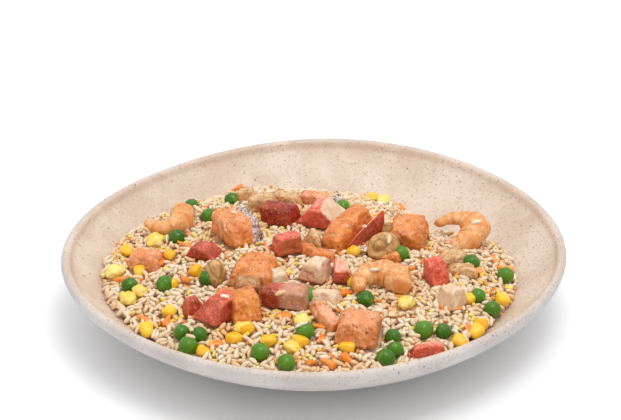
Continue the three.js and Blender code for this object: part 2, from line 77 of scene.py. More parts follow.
# %% Light
def soft_light(name, place, size, power):
    """A square area light that faces the bowl."""
    data = bpy.data.lights.new(name, "AREA")
    data.size = size
    data.energy = power
    lamp = bpy.data.objects.new(name, data)
    lamp.location = place
    lamp.rotation_euler = (Vector((0, 0, 0.03)) - Vector(place)).to_track_quat("-Z", "Y").to_euler()
    bpy.context.collection.objects.link(lamp)


soft_light("softbox", (0.15, -0.35, 1.3), 0.5, 4.5)

sky_data = bpy.data.lights.new("ceiling", "SUN")
sky_data.energy = 0.75
sky_data.angle = math.radians(75)
ceiling = bpy.data.objects.new("ceiling", sky_data)
ceiling.rotation_euler = (math.radians(-3), math.radians(3), 0)
bpy.context.collection.objects.link(ceiling)

world = bpy.data.worlds.new("studio")
world.use_nodes = True
world.node_tree.nodes["Background"].inputs["Color"].default_value = (0.96, 0.985, 1, 1)
world.node_tree.nodes["Background"].inputs["Strength"].default_value = 0.83
bpy.context.scene.world = world
bpy.context.scene.view_settings.view_transform = "Standard"
print("lights: softbox, ceiling and a white room")

# %% [markdown]
# ## Helpers for materials
# Everything here gets its colour from noise and cell patterns read in object coordinates, in metres,
# so a pattern of scale 300 changes about every 3 mm. Writing nodes by hand takes many lines, so short helpers
# add a node and fill its inputs, either with a value or with a link.

# %% Node helpers
def srgb(red, green, blue):
    """A colour given as screen values from 0 to 255, as the linear numbers that a shader takes."""
    return tuple(((c / 255 + 0.055) / 1.055) ** 2.4 for c in (red, green, blue)) + (1.0,)


def fill(tree, socket, value):
    """Links an output to a socket, or sets the socket's value."""
    if isinstance(value, bpy.types.NodeSocket):
        tree.links.new(value, socket)
    else:
        socket.default_value = value


def add(tree, kind, inputs=None, **settings):
    """Adds a shader node with its settings and inputs, and returns it."""
    made = tree.nodes.new("ShaderNode" + kind)
    for name, value in settings.items():
        setattr(made, name, value)
    for name, value in (inputs or {}).items():
        fill(tree, made.inputs[name], value)
    return made


def mix(tree, factor, first, second):
    """The colour between two colours."""
    made = add(tree, "Mix", data_type="RGBA")
    for index, value in ((0, factor), (6, first), (7, second)):
        fill(tree, made.inputs[index], value)
    return made.outputs[2]


def between(tree, value, low, high):
    """0 where a value is below low, 1 above high, and smooth in between."""
    made = add(tree, "MapRange", interpolation_type="SMOOTHSTEP")
    for index, given in enumerate((value, low, high)):
        fill(tree, made.inputs[index], given)
    return made.outputs[0]


def maths(tree, operation, first, second):
    """The result of one sum on two numbers."""
    made = add(tree, "Math", operation=operation)
    fill(tree, made.inputs[0], first)
    fill(tree, made.inputs[1], second)
    return made.outputs[0]


def attribute(tree, name):
    """A number that a piece carries at each point, such as how much skin it has there."""
    return add(tree, "Attribute", attribute_name=name).outputs["Fac"]


def tinted(tree, colour, mask, share, other):
    """A colour that turns by up to `share` into another screen colour where a mask is 1."""
    return mix(tree, maths(tree, "MULTIPLY", mask, share), colour, srgb(*other))


def marked(tree, colour, name, share, other):
    """The same where the piece carries the attribute `name`."""
    return tinted(tree, colour, attribute(tree, name), share, other)


# %% [markdown]
# ## Effects that several finishes share
# Food is never one colour: it is mottled at a few millimetres, dotted with ground pepper, strewn with crumbs
# where it was fried, and slightly rough. Each of these is a node group with named inputs, so that every finish
# can use it at its own scale.

# %% Shared node groups
def effect_group(name, sockets_in, output, output_kind):
    """An empty node group with named inputs and one output. Returns the group, what it is given and its result."""
    group = bpy.data.node_groups.new(name, "ShaderNodeTree")
    for socket, kind in sockets_in.items():
        group.interface.new_socket(socket, in_out="INPUT", socket_type="NodeSocket" + kind)
    group.interface.new_socket(output, in_out="OUTPUT", socket_type="NodeSocket" + output_kind)
    return group, group.nodes.new("NodeGroupInput").outputs, group.nodes.new("NodeGroupOutput").inputs


def mottle_group():
    """Drifts between two colours in soft patches."""
    sockets = {"Vector": "Vector", "Scale": "Float", "Low": "Color", "High": "Color"}
    group, given, result = effect_group("mottle", sockets, "Color", "Color")
    patches = add(group, "TexNoise", {"Vector": given["Vector"], "Scale": given["Scale"], "Detail": 4.0})
    share = between(group, patches.outputs["Fac"], 0.36, 0.64)
    group.links.new(mix(group, share, given["Low"], given["High"]), result["Color"])
    return group


def specks_group():
    """1 on small scattered specks and 0 elsewhere. Amount is the share of cells that hold one."""
    sockets = {"Vector": "Vector", "Scale": "Float", "Amount": "Float", "Size": "Float"}
    group, given, result = effect_group("specks", sockets, "Mask", "Float")
    cells = add(group, "TexVoronoi", {"Vector": given["Vector"], "Scale": given["Scale"]})
    pick = add(group, "SeparateColor", {"Color": cells.outputs["Color"]})
    chosen = maths(group, "LESS_THAN", pick.outputs[0], given["Amount"])
    size = maths(group, "MULTIPLY", pick.outputs[1], given["Size"])
    near = maths(group, "LESS_THAN", cells.outputs["Distance"], size)
    group.links.new(maths(group, "MULTIPLY", chosen, near), result["Mask"])
    return group


def roughen_group():
    """A fine uneven height, of two sizes of bumps."""
    group, given, result = effect_group("roughen", {"Vector": "Vector", "Scale": "Float"}, "Height", "Float")
    coarse = add(group, "TexNoise", {"Vector": given["Vector"], "Scale": given["Scale"], "Detail": 5.0})
    fine_scale = maths(group, "MULTIPLY", given["Scale"], 3.1)
    fine = add(group, "TexVoronoi", {"Vector": given["Vector"], "Scale": fine_scale}, feature="SMOOTH_F1")
    both = maths(group, "ADD", coarse.outputs["Fac"], maths(group, "MULTIPLY", fine.outputs["Distance"], 0.35))
    group.links.new(both, result["Height"])
    return group


def crumbs_group():
    """Strews pale and browned crumbs over a colour, as frying does. Each crumb is one small cell."""
    sockets = {"Vector": "Vector", "Scale": "Float", "Color": "Color", "Pale": "Color", "Browned": "Color"}
    group, given, result = effect_group("crumbs", sockets | {"Amount": "Float"}, "Color", "Color")
    cells = add(group, "TexVoronoi", {"Vector": given["Vector"], "Scale": given["Scale"]})
    pick = add(group, "SeparateColor", {"Color": cells.outputs["Color"]}).outputs[0]
    few = maths(group, "SUBTRACT", 1.0, maths(group, "MULTIPLY", given["Amount"], 0.5))
    faint = maths(group, "MULTIPLY", between(group, pick, few, 1.0), 0.55)
    pale = mix(group, faint, given["Color"], given["Pale"])
    browned = mix(group, between(group, pick, given["Amount"], 0.0), pale, given["Browned"])
    group.links.new(browned, result["Color"])
    return group


MOTTLE = mottle_group()
SPECKS = specks_group()
CRUMBS = crumbs_group()
ROUGHEN = roughen_group()


def effect(tree, group, **inputs):
    """Places a shared group in a material and returns its output."""
    made = tree.nodes.new("ShaderNodeGroup")
    made.node_tree = group
    for name, value in inputs.items():
        fill(tree, made.inputs[name], value)
    return made.outputs[0]


def new_material(name, **fixed):
    """A Principled material with these fixed sockets. Returns material, tree, shader and object coordinates."""
    made = bpy.data.materials.new(name)
    made.use_nodes = True
    tree = made.node_tree
    shader = tree.nodes["Principled BSDF"]
    for socket, value in fixed.items():
        shader.inputs[socket.replace("_", " ")].default_value = value
    return made, tree, shader, add(tree, "TexCoord").outputs["Object"]


def mottled(tree, coords, scale, low, high):
    """Soft patches between two screen colours."""
    return effect(tree, MOTTLE, Vector=coords, Scale=scale, Low=srgb(*low), High=srgb(*high))


def dress(tree, shader, coords, colour, scale, depth):
    """Gives a shader its colour and a fine relief, depth in mm."""
    tree.links.new(colour, shader.inputs["Base Color"])
    height = effect(tree, ROUGHEN, Vector=coords, Scale=scale)
    bump = add(tree, "Bump", {"Height": height, "Distance": depth * MM, "Strength": 1.0})
    tree.links.new(bump.outputs["Normal"], shader.inputs["Normal"])


print("groups:", ", ".join(group.name for group in (MOTTLE, SPECKS, CRUMBS, ROUGHEN)))

# %% [markdown]
# ## Table
# The table is plain white and only catches the shadow, so it is not attached to the dish.

# %% Table
def table_finish():
    made, tree, shader, coords = new_material("white_table", Roughness=0.8)
    colour = effect(tree, MOTTLE, Vector=coords, Scale=3.0, Low=(0.95, 0.95, 0.95, 1), High=(0.97, 0.97, 0.97, 1))
    tree.links.new(colour, shader.inputs["Base Color"])
    return made


def make_table():
    bm = bmesh.new()
    bmesh.ops.create_grid(bm, x_segments=2, y_segments=2, size=6)
    mesh = bpy.data.meshes.new("table")
    bm.to_mesh(mesh)
    bm.free()
    mesh.materials.append(table_finish())
    table = bpy.data.objects.new("table", mesh)
    bpy.context.collection.objects.link(table)


make_table()
print("table: 12 m across")

# %% [markdown]
# ## Bowl
# The bowl was thrown on a wheel and pressed a little out of round while soft: its plan is a rounded triangle.
# A wheel-thrown form is a profile turned round an axis, so a chain of points is spun in many small steps.
# Its outline is then pulled in and out by three waves that fade towards the foot, as a potter's hand would.

# %% Shape of the bowl
RIM_RADIUS = 132.3
WALL = 5.0
FOOT_RADIUS = 62.0
FOOT_WIDTH = 6.0
FOOT_RECESS = 2.5
RIM_WAVES = [(2, 2.9, 32), (3, 1.1, -52), (4, 1.45, -1)]  # crests, height in mm, first crest in degrees
OUTSIDE = np.array([
    (62, 2.5), (80, 6.5), (100, 14.2), (112, 20.2), (119.5, 24.7), (126.5, 30), (130.8, 34.5), (132.3, 38.6),
])  # radius and height of points on the outside of the wall


def smooth_curve(points, count):
    """Points evenly spaced along a smooth curve through the given ones."""
    chain = np.vstack([points[:1], points, points[-1:]])
    samples = []
    for p0, p1, p2, p3 in zip(chain, chain[1:], chain[2:], chain[3:]):
        t = np.linspace(0, 1, 30, endpoint=False)[:, None]
        v0, v1 = (p2 - p0) / 2, (p3 - p1) / 2
        samples.append((2 * p1 - 2 * p2 + v0 + v1) * t**3 + (-3 * p1 + 3 * p2 - 2 * v0 - v1) * t**2 + v0 * t + p1)
    curve = np.vstack([*samples, points[-1:]])
    length = np.concatenate([[0], np.cumsum(np.linalg.norm(np.diff(curve, axis=0), axis=1))])
    even = np.linspace(0, length[-1], count)
    return np.stack([np.interp(even, length, curve[:, 0]), np.interp(even, length, curve[:, 1])], axis=1)


outside_wall = smooth_curve(OUTSIDE, 44)
along = np.gradient(outside_wall, axis=0)
along /= np.linalg.norm(along, axis=1)[:, None]
inward = np.stack([-along[:, 1], along[:, 0]], axis=1)
inside_wall = outside_wall + WALL * inward
FLOOR = inside_wall[0, 1]


def outline_share(angle):
    """The outline's radius in a direction, as a share of its mean."""
    return 1 + sum(h * np.cos(n * (angle - math.radians(first))) for n, h, first in RIM_WAVES) / RIM_RADIUS


def waviness(radius, angle):
    """How much of the outline's waviness there is at a radius: none at the foot, all at the rim."""
    share = np.clip((radius - FOOT_RADIUS) / (RIM_RADIUS - FOOT_RADIUS), 0, 1)
    return 1 + (outline_share(angle) - 1) * share * share * (3 - 2 * share)


def inside_height(x, y):
    """Height of the bowl's inside above a point of the plan, in mm."""
    angle, reach = np.arctan2(y, x), np.hypot(x, y)
    radius = reach / waviness(reach / outline_share(angle), angle)
    return np.interp(radius, inside_wall[:, 0], inside_wall[:, 1])


directions = np.linspace(-math.pi, math.pi, 721)
rim = (RIM_RADIUS + WALL / 2) * outline_share(directions)
rim_x, rim_y = rim * np.cos(directions), rim * np.sin(directions)
SHIFT = Vector((-(rim_x.max() + rim_x.min()) / 2, -(rim_y.max() + rim_y.min()) / 2, 0))
print("inside floor", round(FLOOR, 1), "mm, middle of the outline", [round(-c, 2) for c in SHIFT])


# %% Putting a piece in the scene
def put(mesh, name, finish, slot, replaced=()):
    """Moves a mesh made in mm about the bowl's axis to its place in metres and adds it to the dish."""
    mesh.transform(Matrix.Scale(MM, 4) @ Matrix.Translation(SHIFT))
    mesh.name = name
    mesh.materials.append(finish)
    mesh.shade_smooth()
    piece = bpy.data.objects.new(name, mesh)
    bpy.context.collection.objects.link(piece)
    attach(piece, "root")
    if replaced:
        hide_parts(*replaced)
    return piece


def to_mesh(bm):
    """Turns a finished bmesh into a mesh and frees it."""
    mesh = bpy.data.meshes.new("piece")
    bm.to_mesh(mesh)
    bm.free()
    return mesh


def spin_round(bm, chain, steps, merge):
    """Spins a chain of points round the bowl's axis, merging what falls together on it."""
    geometry = chain + [bm.edges.new(pair) for pair in zip(chain, chain[1:])]
    full = 2 * math.pi
    bmesh.ops.spin(bm, geom=geometry, axis=(0, 0, 1), cent=(0, 0, 0), angle=full, steps=steps, use_merge=True)
    bmesh.ops.remove_doubles(bm, verts=bm.verts, dist=merge)
    bmesh.ops.recalc_face_normals(bm, faces=bm.faces)


# %% Glaze
def glaze_finish():
    """Warm cream glaze inside and a cooler, greyer and darker one outside, whose darkness is partly painted shade for
    the wall under the rim. Both are mottled, with dark iron specks of two sizes. The fine ones are thickest towards
    the right and the front."""
    made, tree, shader, coords = new_material("speckled_glaze", Roughness=0.45, IOR=1.45)
    warm = mottled(tree, coords, 40, (212, 188, 167), (225, 205, 186))
    # Painted shade: the outside glaze is set a little darker than its own colour, for the wall under the rim.
    cool_with_painted_shade = mottled(tree, coords, 40, (188, 180, 178), (201, 194, 192))
    ground = mix(tree, attribute(tree, "inside"), cool_with_painted_shade, warm)
    veil = add(tree, "TexNoise", {"Vector": coords, "Scale": 520.0, "Detail": 4.0, "Roughness": 0.7})
    grainy = mix(tree, between(tree, veil.outputs["Fac"], 0.5, 0.75), ground, srgb(190, 160, 138))
    place = add(tree, "SeparateXYZ", {"Vector": coords})
    right = maths(tree, "MULTIPLY", place.outputs["X"], 1.6)
    back = maths(tree, "MULTIPLY", place.outputs["Y"], 0.8)
    dusting = add(tree, "TexNoise", {"Vector": coords, "Scale": 14.0})
    dusted = maths(tree, "MULTIPLY", dusting.outputs["Fac"], 0.5)
    amount = maths(tree, "ADD", maths(tree, "SUBTRACT", right, back), dusted)
    fine = effect(tree, SPECKS, Vector=coords, Scale=700.0, Amount=amount, Size=0.4)
    large = effect(tree, SPECKS, Vector=coords, Scale=400.0, Amount=0.12, Size=0.24)
    spotted = tinted(tree, grainy, fine, 0.5, (120, 96, 82))
    dress(tree, shader, coords, tinted(tree, spotted, large, 0.75, (88, 70, 62)), 260.0, 0.05)
    return made


# %% Bowl
SPIN_STEPS = 160


def lip_points():
    """A half round from the inside of the wall, over the top, to its outside."""
    middle = (outside_wall[-1] + inside_wall[-1]) / 2
    for degrees in range(20, 180, 20):
        turn = math.radians(degrees)
        yield middle + WALL / 2 * (inward[-1] * math.cos(turn) + along[-1] * math.sin(turn))


def bowl_profile():
    """Radius and height of the profile, from the middle of the floor over the lip to the middle of the base,
    and how much each point belongs to the warm inside."""
    foot_in = FOOT_RADIUS - FOOT_WIDTH
    foot = [(FOOT_RADIUS - 0.6, 0.4), (FOOT_RADIUS - 1.2, 0), (foot_in, 0), (foot_in - 0.6, 0.4)]
    base = [(foot_in - 1, FOOT_RECESS), (30, FOOT_RECESS), (0, FOOT_RECESS)]
    within = [(0, FLOOR), (30, FLOOR), *inside_wall]
    lip = list(lip_points())
    rest = [*outside_wall[::-1], *foot, *base]
    warmth = [1.0] * len(within) + list(np.linspace(1, 0, len(lip))) + [0.0] * len(rest)
    return within + lip + rest, warmth


def make_bowl():
    bm = bmesh.new()
    inside_layer = bm.verts.layers.float.new("inside")
    points, warmth = bowl_profile()
    chain = [bm.verts.new((radius, 0, height)) for radius, height in points]
    for vert, inside in zip(chain, warmth):
        vert[inside_layer] = inside
    spin_round(bm, chain, SPIN_STEPS, 1e-3)
    for vert in bm.verts:
        share = waviness(math.hypot(vert.co.x, vert.co.y), math.atan2(vert.co.y, vert.co.x))
        vert.co.x *= share
        vert.co.y *= share
    return put(to_mesh(bm), "stoneware_bowl", glaze_finish(), "bowl", ["bowl"])


bowl = make_bowl()
print("bowl:", len(bowl.data.polygons), "faces, size in mm", [round(1000 * side, 1) for side in bowl.dimensions])

# %% [markdown]
# ## Where the rice reaches
# The heap is a low dome that meets the wall in an uneven line, with two bays at the back where the wall
# shows. Its height above any point is a function, so that grains, peas and toppings can all be set on it.

# %% Shape of the heap
FILL_RADIUS = 108.5
FILL_LEAN = (2.5, 2.5)
BAYS = [(0.17, 41, 19), (0.08, 82, 24)]  # depth as a share of the radius, direction and width in degrees
CROWN = 40.0
EDGE_THICKNESS = 3.0
GAP = 0.35
MOUND_POWER = 2.2


def fill_radius(angle):
    """How far from the middle the rice reaches in a direction."""
    reach = FILL_RADIUS * outline_share(angle) - FILL_LEAN[0] * np.cos(angle) - FILL_LEAN[1] * np.sin(angle)
    for depth, at, width in BAYS:
        reach = reach * (1 - depth * np.exp(-(((angle - math.radians(at)) / math.radians(width)) ** 2)))
    return reach


def heap_height(x, y):
    """Height of the heap above a point of the plan: a dome from the crown to a thin edge on the wall."""
    angle = np.arctan2(y, x)
    reach = fill_radius(angle)
    share = np.minimum(1, np.hypot(x, y) / reach)
    edge = inside_height(reach * np.cos(angle), reach * np.sin(angle)) + GAP + EDGE_THICKNESS
    return edge + (CROWN - edge) * (1 - share**MOUND_POWER)


print("heap: middle", heap_height(0, 0), "edge in front", round(float(heap_height(0, -104)), 1), "mm high")

# %% [markdown]
# ## Forms of the toppings
# Each piece of fish or crab stick starts as a cube cut into a fine grid and rounded into a cushion shape.
# Then its points move: the knife leaves it narrowed and slanted, flakes step across salmon, a crab stick's
# faces stay flat, and a shrimp bends round.
# While a point moves, the piece also notes there what the finish needs to know, such as skin or a browned edge.

# %% Rounded block
FACE = 0.7  # about how wide the faces of a topping are, in mm


def smoothstep(value, low, high):
    """0 where a value is below low, 1 above high, and smooth in between."""
    share = min(1, max(0, (value - low) / (high - low)))
    return share * share * (3 - 2 * share)


def soft_block(size, squareness):
    """A closed block with a fine grid of faces. A low squareness rounds it towards an ellipsoid."""
    bm = bmesh.new()
    bmesh.ops.create_cube(bm, size=2)
    for axis in range(3):
        edges = [edge for edge in bm.edges if abs(edge.verts[0].co[axis] - edge.verts[1].co[axis]) > 1e-6]
        bmesh.ops.subdivide_edges(bm, edges=edges, cuts=max(5, round(size[axis] / FACE)), use_grid_fill=True)
    for vert in bm.verts:
        norm = sum(abs(c) ** squareness for c in vert.co) ** (1 / squareness)
        vert.co = Vector([c / norm * side / 2 for c, side in zip(vert.co, size)])
    bm.normal_update()
    return bm


def nearness_to_edge(point, size):
    """1 on the edges and corners of a block, 0 in the middle of its faces."""
    shares = sorted(abs(2 * c / side) for c, side in zip(point, size))
    return smoothstep(shares[1], 0.62, 0.95)


def rough(point, scale, seed):
    """Smooth noise from about -1 to 1, the same at every build."""
    return noise.noise(Vector(point) / scale + Vector((seed * 7.3, seed * 3.1, seed * 5.7)))


def layers(bm, *names):
    """New numbers for each point of a piece."""
    return [bm.verts.layers.float.new(name) for name in names]


# %% Marks of the knife and the pan
def out_of_square(point, size, seed, share=0.07):
    """A slow push, in a direction of its own at each place, that takes a block out of square."""
    reach = share * max(size)
    return Vector([reach * rough(point, 0.6 * max(size), seed + 13 * k) for k in (1, 2, 3)])


def hewn(point, size, seed, most):
    """A block's point with the block narrowed and slanted, as a hand-cut piece is. `most` is the largest share."""
    narrow_x, narrow_y, slant_x, slant_y, skew, lean = [most * rough((seed, k, 0.5), 0.37, k) for k in range(6)]
    ahead, aside, up = (2 * c / side for c, side in zip(point, size))
    width = 1 - abs(narrow_x) * (1 + up) - abs(skew) * (1 + aside) / 2
    depth = 1 - abs(narrow_y) * (1 + up) - abs(lean) * (1 - ahead) / 2
    slanted = slant_y * point.z + 0.5 * skew * point.x
    return Vector((point.x * width + slant_x * point.z, point.y * depth + slanted, point.z))


def torn(point, seed, coarse, fine):
    """How far a torn and fried surface stands out, in mm."""
    ragged = coarse * (abs(rough(point, 3.4, seed + 0.4)) - 0.25) * 2
    return ragged + fine * rough(point, 1.5, seed + 0.8) + 0.5 * fine * rough(point, 0.8, seed + 0.9)


def flake_step(across, shown, seam, rise, groove):
    """How far flesh stands out in mm where `across` counts its flakes, and how near a seam between two is."""
    share = across % 1
    line = shown * math.exp(-((min(share, 1 - share) / seam) ** 2))
    return rise * shown * (share - 0.5) - groove * line, line


# %% Salmon
SALMON_FLAKE = 8  # mm


def salmon_chunk(size, seed, look):
    """Flakes step across the piece on a slant. `line` marks the pale tissue between them."""
    bm = soft_block(size, 5)
    line_layer, brown_layer = layers(bm, "line", "brown")
    for vert in bm.verts:
        p = vert.co.copy()
        across = p.x + 0.35 * p.y + 0.03 * p.y * abs(p.y) + 3.4 * rough(p, 9, seed)
        shown = smoothstep(rough(p, 7, seed + 5), -0.25, 0.35)
        step, vert[line_layer] = flake_step(across / SALMON_FLAKE + 0.37 * seed, shown, 0.11, 0.9, 0.6)
        moved = hewn(p, size, seed, 0.4) + out_of_square(p, size, seed)
        vert.co = moved + vert.normal * (step + torn(p, seed, 0.5, 0.3))
        vert[brown_layer] = smoothstep(0.5 * nearness_to_edge(p, size) + 0.9 * rough(p, 6, seed + 2), 0.1, 0.9)
    return bm


# %% Crab stick
def crab_piece(size, seed, look):
    """A hand-cut piece with fibres along it, which bows a little over its length."""
    bm = soft_block(size, 11)
    fibre_layer, brown_layer = layers(bm, "line", "brown")
    for vert in bm.verts:
        p = vert.co.copy()
        bow = -0.2 * p.z * (2 * p.y / size[1]) ** 2
        fibre = rough((p.x * 0.25, p.y * 1.4, p.z * 1.4), 1.6, seed)
        moved = hewn(p, size, seed, 0.55) + Vector((0.12 * p.y, 0, bow)) + out_of_square(p, size, seed, 0.035)
        vert.co = moved + vert.normal * (0.14 * fibre + torn(p, seed, 0.16, 0.16))
        vert[fibre_layer] = 0.5 + 0.5 * fibre
        edge = 0.55 * nearness_to_edge(p, size) + 0.8 * rough(p, 5, seed + 3)
        vert[brown_layer] = look.get("browned", 0.55) * smoothstep(edge, 0.1, 0.9)
    return bm


def roof_piece(size, seed, look):
    """A crab stick piece on its side: skin and cut face slope away from a ridge."""
    bm = crab_piece(size, seed, look)
    for vert in bm.verts:
        rise = vert.co.z / size[2] + 0.5
        vert.co.x *= 1 - 0.7 * rise
    return bm


# %% White fish
FISH_FLAKE = 4.2  # mm


def fish_flake(size, seed, look):
    """An uneven flake, split along its layers."""
    bm = soft_block(size, 6)
    line_layer, brown_layer = layers(bm, "line", "brown")
    for vert in bm.verts:
        p = vert.co.copy()
        across = p.y + 0.3 * p.x + 2.0 * rough(p, 7, seed)
        shown = smoothstep(rough(p, 6, seed + 5), -0.3, 0.3)
        step, vert[line_layer] = flake_step(across / FISH_FLAKE + 0.31 * seed, shown, 0.1, 0.6, 0.3)
        moved = hewn(p, size, seed, 0.45) + out_of_square(p, size, seed, 0.08)
        vert.co = moved + vert.normal * (step + torn(p, seed, 0.3, 0.25))
        vert[brown_layer] = smoothstep(0.7 * nearness_to_edge(p, size) + rough(p, 5, seed + 2), 0.1, 0.9)
    return bm


# %% Mussel
def mussel_meat(size, seed, look):
    """An oval of meat, with folds that run round its middle in rings or, where it lies on edge, along it."""
    bm = bmesh.new()
    bmesh.ops.create_uvsphere(bm, u_segments=56, v_segments=36, radius=1)
    line_layer, brown_layer = layers(bm, "line", "brown")
    middle = Vector(look.get("middle", (0, 0, 1))).normalized()
    for vert in bm.verts:
        p = vert.co.copy()
        if look.get("lengthwise"):
            folds = math.cos(5 * math.atan2(p.y, p.z) + 2.5 * rough(p, 0.9, seed))
        else:
            off = p - max(0, p.dot(middle)) * middle
            folds = math.cos(6.5 * math.hypot(off.length, 0.9 * off.z) + 1.2 * rough(p, 0.9, seed))
        uneven = 0.08 * rough(p, 0.8, seed) + 0.02 * rough(p, 0.2, seed + 1)
        reach = 1 + look.get("folds", 0.07) * folds + uneven
        vert.co = Vector([c * side / 2 for c, side in zip(p * reach, size)])
        vert[line_layer] = smoothstep(-folds, 0.5, 1)
        vert[brown_layer] = smoothstep(rough(p, 0.5, seed + 3), -0.1, 0.6)
    return bm


# %% Shrimp
RIBS = 5


def fit(bm, size):
    """Moves a form to the origin and stretches it to a size."""
    points = np.array([vert.co for vert in bm.verts])
    low, high = points.min(axis=0), points.max(axis=0)
    for vert in bm.verts:
        vert.co = Vector((c - (a + b) / 2) * side / (b - a) for c, a, b, side in zip(vert.co, low, high, size))


def shrimp_tail(size, seed, look):
    """A peeled tail bent round an arc: thick at the cut end, thin at the tip, with a rib at each segment."""
    sweep, thickness = math.radians(look.get("sweep", 225)), look.get("thick", 0.7)
    bm = bmesh.new()
    bmesh.ops.create_uvsphere(bm, u_segments=36, v_segments=72, radius=1)
    rib_layer, back_layer = layers(bm, "line", "brown")
    for vert in bm.verts:
        p = vert.co.copy()
        share = 0.5 + math.asin(max(-1, min(1, p.z))) / math.pi
        ring = math.hypot(p.x, p.y) or 1
        side = Vector((p.x, p.y)) / ring
        closing = math.sqrt(1 - (1 - min(1, share / 0.06, (1 - share) / 0.06)) ** 2)
        taper = (1 - 0.58 * smoothstep(share, 0.3, 1)) * (0.72 + 0.28 * smoothstep(share, 0, 0.2)) * closing
        rib = math.cos(2 * math.pi * (RIBS * share + 0.05 * rough((share * 9, side.y, 0), 1, seed)))
        relief = 1 + 0.05 * rib - 0.06 * smoothstep(-rib, 0.8, 1) + 0.05 * rough(p * 2.5, 1, seed)
        thick = thickness * taper * relief
        angle = sweep * (share - 0.5)
        reach = 1 + side.x * thick
        vert.co = Vector((reach * math.cos(angle), reach * math.sin(angle), side.y * thick))
        vert[rib_layer] = smoothstep(rib, 0.45, 1)
        vert[back_layer] = smoothstep(side.x, -0.2, 1)
    fit(bm, size)
    return bm


FORMS = {
    "salmon": salmon_chunk, "crab": crab_piece, "roof": roof_piece,
    "fish": fish_flake, "mussel": mussel_meat, "shrimp": shrimp_tail,
}
print("forms:", ", ".join(FORMS))

# %% [markdown]
# ## Finishes of the toppings
# Cooked flesh lets a little light in, so every finish has some subsurface scattering, which softens its shading.
# The pieces carry `line`, `brown`, `flesh` and `tint` at each point, and the finishes turn them into colour.
# `flesh` is a crab stick's white inside or a salmon's silver skin: the second surface that such a piece shows.
# `tint` also carries painted light and shade: salmon is paler pink on top, crab stick and fish are darker on their
# sides.

# %% Finishes of the fish and shellfish
def pepper_over(tree, coords, colour, amount=0.1):
    """Ground pepper on a colour."""
    mask = effect(tree, SPECKS, Vector=coords, Scale=800.0, Amount=amount, Size=0.38)
    return tinted(tree, colour, mask, 0.75, (84, 54, 36))


def cooked(name, roughness, scatter):
    """A moist cooked surface that light enters by about `scatter` mm."""
    inner = {"Subsurface_Weight": 0.35, "Subsurface_Scale": scatter * MM, "Subsurface_Radius": (1.0, 0.6, 0.35)}
    return new_material(name, Roughness=roughness, Specular_IOR_Level=0.35, **inner)


def fried_over(tree, coords, colour, pale, browned, amount, scale=1300.0):
    """Fine crumbs on a colour, at two sizes."""
    tones = {"Pale": srgb(*pale), "Browned": srgb(*browned)}
    once = effect(tree, CRUMBS, Vector=coords, Scale=scale, Color=colour, Amount=amount, **tones)
    return effect(tree, CRUMBS, Vector=coords, Scale=0.54 * scale, Color=once, Amount=0.6 * amount, **tones)


def salmon_finish():
    made, tree, shader, coords = cooked("cooked_salmon", 0.4, 2.0)
    orange = mottled(tree, coords, 190, (212, 118, 44), (238, 152, 74))
    pink = mottled(tree, coords, 210, (226, 146, 98), (240, 180, 142))
    # The tint carries the piece's own pinkness and painted light: salmon turns paler pink on faces that look up.
    flesh = mix(tree, attribute(tree, "tint"), orange, pink)
    lined = marked(tree, flesh, "line", 0.75, (248, 204, 164))
    browned = marked(tree, lined, "brown", 0.6, (176, 92, 38))
    silver = mottled(tree, coords, 650, (120, 98, 92), (226, 212, 208))
    skinned = mix(tree, attribute(tree, "flesh"), browned, silver)
    fried = fried_over(tree, coords, skinned, (246, 186, 130), (188, 100, 44), 0.12)
    dress(tree, shader, coords, pepper_over(tree, coords, fried), 700.0, 0.3)
    return made


def crab_finish():
    made, tree, shader, coords = cooked("crab_stick_flesh", 0.34, 1.6)
    red = mottled(tree, coords, 330, (224, 90, 66), (246, 130, 104))
    dark = mottled(tree, coords, 260, (128, 36, 16), (168, 60, 30))
    # The tint carries each piece's own darkness and painted shade: crab stick turns dark red-brown on faces that turn
    # away from up.
    skin = mix(tree, attribute(tree, "tint"), red, dark)
    fried = fried_over(tree, coords, skin, (246, 158, 128), (168, 62, 34), 0.2, 2000.0)
    cream = mottled(tree, coords, 240, (228, 196, 156), (242, 224, 198))
    fibres = marked(tree, cream, "line", 0.4, (212, 156, 106))
    body = mix(tree, attribute(tree, "flesh"), fried, fibres)
    browned = marked(tree, body, "brown", 0.75, (168, 94, 46))
    dress(tree, shader, coords, pepper_over(tree, coords, browned), 800.0, 0.2)
    return made


def shrimp_finish():
    made, tree, shader, coords = cooked("cooked_shrimp", 0.25, 2.0)
    flesh = mottled(tree, coords, 170, (224, 156, 88), (238, 188, 130))
    ribs = marked(tree, flesh, "line", 0.65, (218, 126, 60))
    back = marked(tree, ribs, "brown", 0.3, (222, 136, 70))
    fried = fried_over(tree, coords, back, (244, 206, 156), (212, 128, 64), 0.08)
    dress(tree, shader, coords, pepper_over(tree, coords, fried), 500.0, 0.15)
    return made


def fish_finish():
    made, tree, shader, coords = cooked("cooked_white_fish", 0.42, 1.8)
    flesh = mottled(tree, coords, 210, (208, 160, 104), (230, 196, 150))
    lined = marked(tree, flesh, "line", 0.45, (190, 138, 86))
    browned = marked(tree, lined, "brown", 0.75, (180, 112, 56))
    # The tint carries each piece's own darkness and painted shade: fish turns darker brown on faces that turn away
    # from up.
    dark = mix(tree, attribute(tree, "tint"), browned, srgb(166, 98, 48))
    fried = fried_over(tree, coords, dark, (240, 212, 172), (170, 106, 58), 0.13)
    dress(tree, shader, coords, pepper_over(tree, coords, fried), 700.0, 0.3)
    return made


